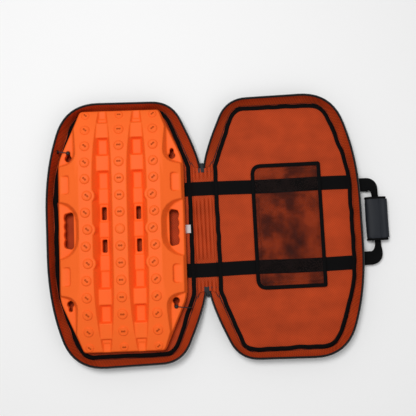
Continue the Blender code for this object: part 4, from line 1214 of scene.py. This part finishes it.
def build_boards(sizes):
    """The moulded boards: the CAD's form with its edges rounded, and a studded upper face."""
    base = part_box("board_upper")[0].z
    mesh = frame["nodes"]["board_upper"].data.copy()
    upper = linked("moulded_board_upper", mesh)
    mesh.materials.clear()
    mesh.transform(board_matrix(base).inverted())
    make_active(upper)
    bpy.ops.object.mode_set(mode="EDIT")
    bpy.ops.mesh.select_all(action="SELECT")
    bpy.ops.mesh.remove_doubles(threshold=0.00002)
    bpy.ops.object.mode_set(mode="OBJECT")
    for v in mesh.vertices:
        ridge = ridge_height(v.co.y)
        if v.co.z > ridge + 0.0002:
            v.co.z = ridge
    swell = upper.modifiers.new("swell", "DISPLACE")
    swell.strength = 0.0005
    swell.mid_level = 0
    remesh = upper.modifiers.new("moulding", "REMESH")
    remesh.mode = "VOXEL"
    remesh.voxel_size = sizes.voxel * 1
    soften = upper.modifiers.new("soften", "SMOOTH")
    soften.factor = 0.5
    soften.iterations = 5
    thin = upper.modifiers.new("thin out", "DECIMATE")
    thin.ratio = 0.36
    apply_all(upper)
    make_active(upper)
    bpy.ops.object.shade_smooth()
    lower = upper.copy()
    lower.data = upper.data.copy()
    lower.name = lower.data.name = "moulded_board_lower"
    bpy.context.scene.collection.objects.link(lower)
    upper.data.transform(board_matrix(base))
    lower.data.transform(board_matrix(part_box("board_lower")[0].z))
    finish_piece(upper, board_plastic(), "board_top", "moulded_orange", "board_upper")
    finish_piece(lower, board_plastic(), "board_low", "moulded_orange", "board_lower")

    cap = stud_cap()
    blank = stud_cap(marked=False)
    studs = []
    for row in range(-STUD_ROWS, STUD_ROWS + 1):
        shift = BOSS_SHIFT if row in (-2, 0, 2) else 0.0
        for x, turn in ((-STUD_COLUMN + shift, -42), (0.0, 0), (STUD_COLUMN - shift, 42)):
            plain = x == 0.0 and row == 0
            y = row * STUD_PITCH - (math.copysign(0.0025, row) if abs(row) == STUD_ROWS else 0)
            slope = (ridge_height(y + 0.001) - ridge_height(y - 0.001)) / 0.002
            sunk = {6: 0.0006, 7: 0.0014}.get(abs(row), 0.0)
            place = Matrix.Translation((x, y, ridge_height(y) - sunk))
            place = place @ Matrix.Rotation(math.atan(slope), 4, "X")
            place = place @ Matrix.Rotation(math.radians(turn), 4, "Z")
            if abs(row) == STUD_ROWS:
                place = place @ Matrix.Diagonal((0.88, 0.88, 1, 1))
            source = blank if plain else cap
            piece = linked("stud", source.data.copy())
            piece.data.transform(board_matrix(base) @ place)
            studs.append(piece)
    bpy.data.objects.remove(cap)
    bpy.data.objects.remove(blank)
    studs = join(studs, "board_studs")
    smooth_sides(studs, 35)
    finish_piece(studs, board_plastic(), "board_top", "moulded_orange")


def stud_cap(marked=True):
    """One stud: a low cone with a ring groove round its flat top and a winged mark sunk in the middle."""
    profile = [(0.0, -0.0015), (0.0138, -0.0015), (0.0134, 0.0008), (0.0120, 0.0022)]
    profile += [(0.0114, 0.0034), (0.0108, 0.0039), (0.0096, 0.0041), (0.0091, 0.0036)]
    profile += [(0.0083, 0.0036), (0.0078, 0.0041), (0.0, 0.0043)]
    deselect()
    bm = bmesh.new()
    rings = []
    for radius, z in profile:
        if radius == 0.0:
            rings.append([bm.verts.new((0, 0, z))])
        else:
            spots = [(radius * math.cos(a), radius * math.sin(a), z) for a in ring_angles(STUD_SIDES)]
            rings.append([bm.verts.new(spot) for spot in spots])
    for low, high in zip(rings, rings[1:]):
        for k in range(STUD_SIDES):
            m = (k + 1) % STUD_SIDES
            corners = [low[k % len(low)], low[m % len(low)], high[m % len(high)], high[k % len(high)]]
            bm.faces.new([v for i, v in enumerate(corners) if v not in corners[:i]])
    bmesh.ops.recalc_face_normals(bm, faces=bm.faces)
    cap = from_bmesh("stud_cap", bm)
    # The second finish is the painted shade that darkens the sunk mark's floor and sides.
    for finish in (board_plastic(), board_recess_painted_shade()):
        cap.data.materials.append(finish)
    if marked:
        chevron = chevron_cutter()
        cut = cap.modifiers.new("chevron", "BOOLEAN")
        cut.object = chevron
        cut.operation = "DIFFERENCE"
        cut.solver = "EXACT"
        cut.material_mode = "INDEX"
        apply_all(cap)
        bpy.data.objects.remove(chevron)
    return cap


def chevron_cutter():
    """The tool that sinks the winged mark; its floor and sides take a darker finish, painted shade in the sunk
    mark.
    """
    half = [(0.0, -0.0030), (0.0016, -0.0012), (0.0034, -0.0034), (0.0066, -0.0012)]
    half += [(0.0058, 0.0026), (0.0034, 0.0034), (0.0, 0.0018)]
    outline = [(x * 0.92, y * 0.92) for x, y in half]
    outline += [(-x * 0.92, y * 0.92) for x, y in reversed(half[1:-1])]
    bm = bmesh.new()
    low = [bm.verts.new((x * 0.85, y * 0.85, 0.0026)) for x, y in outline]
    high = [bm.verts.new((x * 1.12, y * 1.12, 0.0060)) for x, y in outline]
    bm.faces.new(low)
    bm.faces.new(high)
    for i in range(len(low)):
        j = (i + 1) % len(low)
        bm.faces.new((low[i], low[j], high[j], high[i]))
    bmesh.ops.recalc_face_normals(bm, faces=bm.faces)
    for face in bm.faces:
        face.material_index = 1
    obj = from_bmesh("chevron", bm)
    for finish in (board_plastic(), board_recess_painted_shade()):
        obj.data.materials.append(finish)
    return obj


# Leashes

CORD_ROUTES = {
    "left": [
        (-0.14173, 0.21821, 0.0363),
        (-0.14411, 0.21859, 0.0370),
        (-0.15161, 0.21979, 0.0384),
        (-0.15861, 0.22099, 0.0380),
        (-0.16421, 0.22239, 0.0362),
        (-0.16541, 0.22279, 0.0333),
        (-0.16541, 0.22279, 0.0284),
    ],
    "right": [
        (0.13675, -0.19908, 0.03631),
        (0.13911, -0.19939, 0.0370),
        (0.14661, -0.20059, 0.0382),
        (0.15361, -0.20179, 0.0370),
        (0.15961, -0.20279, 0.0324),
        (0.16935, -0.20339, 0.0253),
        (0.16935, -0.20339, 0.0204),
    ],
}


def eased(points, per=6):
    """A smooth line through the route's points."""
    line = []
    for i in range(len(points) - 1):
        a, b = points[i], points[i + 1]
        before = points[i - 1] if i else a * 2 - b
        after = points[i + 2] if i + 2 < len(points) else b * 2 - a
        for k in range(per):
            t = k / per
            square = (2 * before - 5 * a + 4 * b - after) * t * t
            cube = (3 * a - before - 3 * b + after) * t**3
            line.append(0.5 * (2 * a + (b - before) * t + square + cube))
    line.append(points[-1])
    return line


def build_leashes():
    for name, route in CORD_ROUTES.items():
        line = eased([Vector(p) for p in route])
        curve = bpy.data.curves.new(f"leash_line_{name}", "CURVE")
        curve.dimensions = "3D"
        curve.bevel_depth = CORD_DIAMETER / 2
        curve.bevel_resolution = 3
        curve.use_fill_caps = True
        spline = curve.splines.new("POLY")
        spline.points.add(len(line) - 1)
        for spot, place in zip(spline.points, line):
            spot.co = (*place, 1)
        cord = linked(f"leash_line_{name}", curve)
        finish_piece(cord, cord_cloth(), "board_top", "cord_black", f"leash_cord_{name}")

        low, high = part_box(f"leash_ball_{name}")
        deselect()
        radius = (high.z - low.z) / 2
        bpy.ops.mesh.primitive_uv_sphere_add(
            segments=32, ring_count=18, radius=radius, location=(low + high) / 2
        )
        ball = bpy.context.object
        ball.name = ball.data.name = f"leash_knob_{name}"
        settle(ball)
        make_active(ball)
        bpy.ops.object.mode_set(mode="EDIT")
        bpy.ops.mesh.select_all(action="DESELECT")
        bpy.ops.object.mode_set(mode="OBJECT")
        middle = (low.z + high.z) / 2
        for face in ball.data.polygons:
            face.select = abs(face.center.z - middle) < 0.0006
        bpy.ops.object.mode_set(mode="EDIT")
        bpy.ops.mesh.inset(thickness=0.0002, depth=0.0002)
        bpy.ops.object.mode_set(mode="OBJECT")
        smooth_sides(ball, 50)
        finish_piece(ball, cord_cloth(), "board_top", "cord_black", f"leash_ball_{name}")

        low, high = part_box(f"leash_loop_{name}")
        loop = block(f"leash_anchor_{name}", low, high)
        rounded_edges(loop, 0.0008)
        map_like_a_box(loop)
        finish_piece(loop, webbing(), "tray", "webbing_black", f"leash_loop_{name}")


# Stage: the lens in units of the frame's points, and the camera's place and turn

HALF_FRAME, FOCAL_LENGTH = 208, 640
CAMERA_PLACE = (SPINE_X - 0.009, -0.088, 1.713)
CAMERA_TURN = (-4.87, 0.45, 2.83)


def build_stage():
    """A pale floor, soft light from above and the camera over the open case."""
    deselect()
    bpy.ops.mesh.primitive_plane_add(size=8, location=(SPINE_X, 0, FLOOR_Z))
    floor = bpy.context.object
    floor.name = "studio_floor"
    floor.data.materials.append(new_material("pale_floor", (0.93, 0.93, 0.93), 0.9)[0])

    world = bpy.data.worlds.new("studio")
    bpy.context.scene.world = world
    world.use_nodes = True
    background = world.node_tree.nodes["Background"]
    background.inputs["Color"].default_value = (1, 1, 1, 1)
    background.inputs["Strength"].default_value = 0.40
    lamps = (("key", (-0.3, 0.7, 2.7), 0.9, 44), ("fill", (1.6, -1.0, 2.2), 2.0, 8))
    for name, place, size, power in lamps:
        light = bpy.data.lights.new(name, "AREA")
        light.size = size
        light.energy = power
        lamp = linked(name, light)
        lamp.location = place
        aim = Vector((SPINE_X, 0, 0)) - Vector(place)
        lamp.rotation_euler = aim.to_track_quat("-Z", "Y").to_euler()

    camera_data = bpy.data.cameras.new("view")
    camera_data.angle = 2 * math.atan(HALF_FRAME / FOCAL_LENGTH)
    camera = linked("view", camera_data)
    turn = Matrix.Rotation(math.radians(CAMERA_TURN[0]), 3, "X")
    turn = turn @ Matrix.Rotation(math.radians(CAMERA_TURN[1]), 3, "Y")
    turn = turn @ Matrix.Rotation(math.radians(CAMERA_TURN[2]), 3, "Z")
    camera.matrix_world = Matrix.Translation(CAMERA_PLACE) @ turn.transposed().to_4x4()
    bpy.context.scene.camera = camera


# Operators


class CASE_OT_walls(bpy.types.Operator):
    """Builds the padded walls of both halves."""

    bl_idname = "case.walls"
    bl_label = "Walls"

    def execute(self, context):
        build_walls(context.scene.case_sizes)
        return {"FINISHED"}


class CASE_OT_zips(bpy.types.Operator):
    """Builds the zip tapes and coils along both rims."""

    bl_idname = "case.zips"
    bl_label = "Zips"

    def execute(self, context):
        build_zips(context.scene.case_sizes)
        return {"FINISHED"}


class CASE_OT_floors(bpy.types.Operator):
    """Builds the lined floors, their bindings, bases and piping."""

    bl_idname = "case.floors"
    bl_label = "Floors"

    def execute(self, context):
        build_floors(context.scene.case_sizes)
        return {"FINISHED"}


class CASE_OT_spine(bpy.types.Operator):
    """Builds the pleated lining of the spine and its seams."""

    bl_idname = "case.spine"
    bl_label = "Spine"

    def execute(self, context):
        build_spine()
        return {"FINISHED"}


class CASE_OT_straps(bpy.types.Operator):
    """Builds the four lengths of webbing that cross the case."""

    bl_idname = "case.straps"
    bl_label = "Straps"

    def execute(self, context):
        build_straps(context.scene.case_sizes)
        return {"FINISHED"}


class CASE_OT_pocket(bpy.types.Operator):
    """Builds the net pocket and its binding."""

    bl_idname = "case.pocket"
    bl_label = "Pocket"

    def execute(self, context):
        build_pocket()
        return {"FINISHED"}


class CASE_OT_trims(bpy.types.Operator):
    """Builds the blank label, the zip's end tabs and the sliders."""

    bl_idname = "case.trims"
    bl_label = "Label, tabs and sliders"

    def execute(self, context):
        build_label()
        build_tabs()
        build_sliders()
        return {"FINISHED"}


class CASE_OT_handle(bpy.types.Operator):
    """Builds the handle's webbing, anchors, padded grip and flap."""

    bl_idname = "case.handle"
    bl_label = "Handle"

    def execute(self, context):
        build_handle()
        return {"FINISHED"}


class CASE_OT_boards(bpy.types.Operator):
    """Builds the two moulded boards and their studs."""

    bl_idname = "case.boards"
    bl_label = "Boards"

    def execute(self, context):
        build_boards(context.scene.case_sizes)
        return {"FINISHED"}


class CASE_OT_leashes(bpy.types.Operator):
    """Builds the two leashes with their knobs and loops."""

    bl_idname = "case.leashes"
    bl_label = "Leashes"

    def execute(self, context):
        build_leashes()
        return {"FINISHED"}


class CASE_OT_stage(bpy.types.Operator):
    """Builds the floor, the lights and the camera."""

    bl_idname = "case.stage"
    bl_label = "Stage"

    def execute(self, context):
        build_stage()
        return {"FINISHED"}


class CASE_PT_panel(bpy.types.Panel):
    """Lists the pieces of the case."""

    bl_idname = "CASE_PT_panel"
    bl_label = "Board case"
    bl_space_type = "VIEW_3D"
    bl_region_type = "UI"
    bl_category = "Board case"

    def draw(self, context):
        for operator in OPERATORS:
            self.layout.operator(operator.bl_idname)
        for group in (context.scene.case_sizes, context.scene.case_colours):
            for key in group.__annotations__:
                self.layout.prop(group, key)


OPERATORS = (
    CASE_OT_stage,
    CASE_OT_walls,
    CASE_OT_zips,
    CASE_OT_floors,
    CASE_OT_spine,
    CASE_OT_straps,
    CASE_OT_pocket,
    CASE_OT_trims,
    CASE_OT_handle,
    CASE_OT_boards,
    CASE_OT_leashes,
)
CLASSES = (CaseSizes, CaseColours, *OPERATORS, CASE_PT_panel)


def register():
    for cls in CLASSES:
        bpy.utils.register_class(cls)
    bpy.types.Scene.case_sizes = PointerProperty(type=CaseSizes)
    bpy.types.Scene.case_colours = PointerProperty(type=CaseColours)


def unregister():
    del bpy.types.Scene.case_colours
    del bpy.types.Scene.case_sizes
    for cls in reversed(CLASSES):
        bpy.utils.unregister_class(cls)


def repaint_left_nodes():
    """The spine's stiff panel keeps its CAD shape and gets the shell's finish."""
    for slot in frame["nodes"]["spine_panel"].material_slots:
        slot.material = shell_cloth()


def main():
    register()
    for operator in OPERATORS:
        getattr(bpy.ops.case, operator.bl_idname.split(".")[1])()
    repaint_left_nodes()
    bpy.context.scene.view_settings.view_transform = "Standard"
    deselect()


if __name__ == "__main__":
    main()
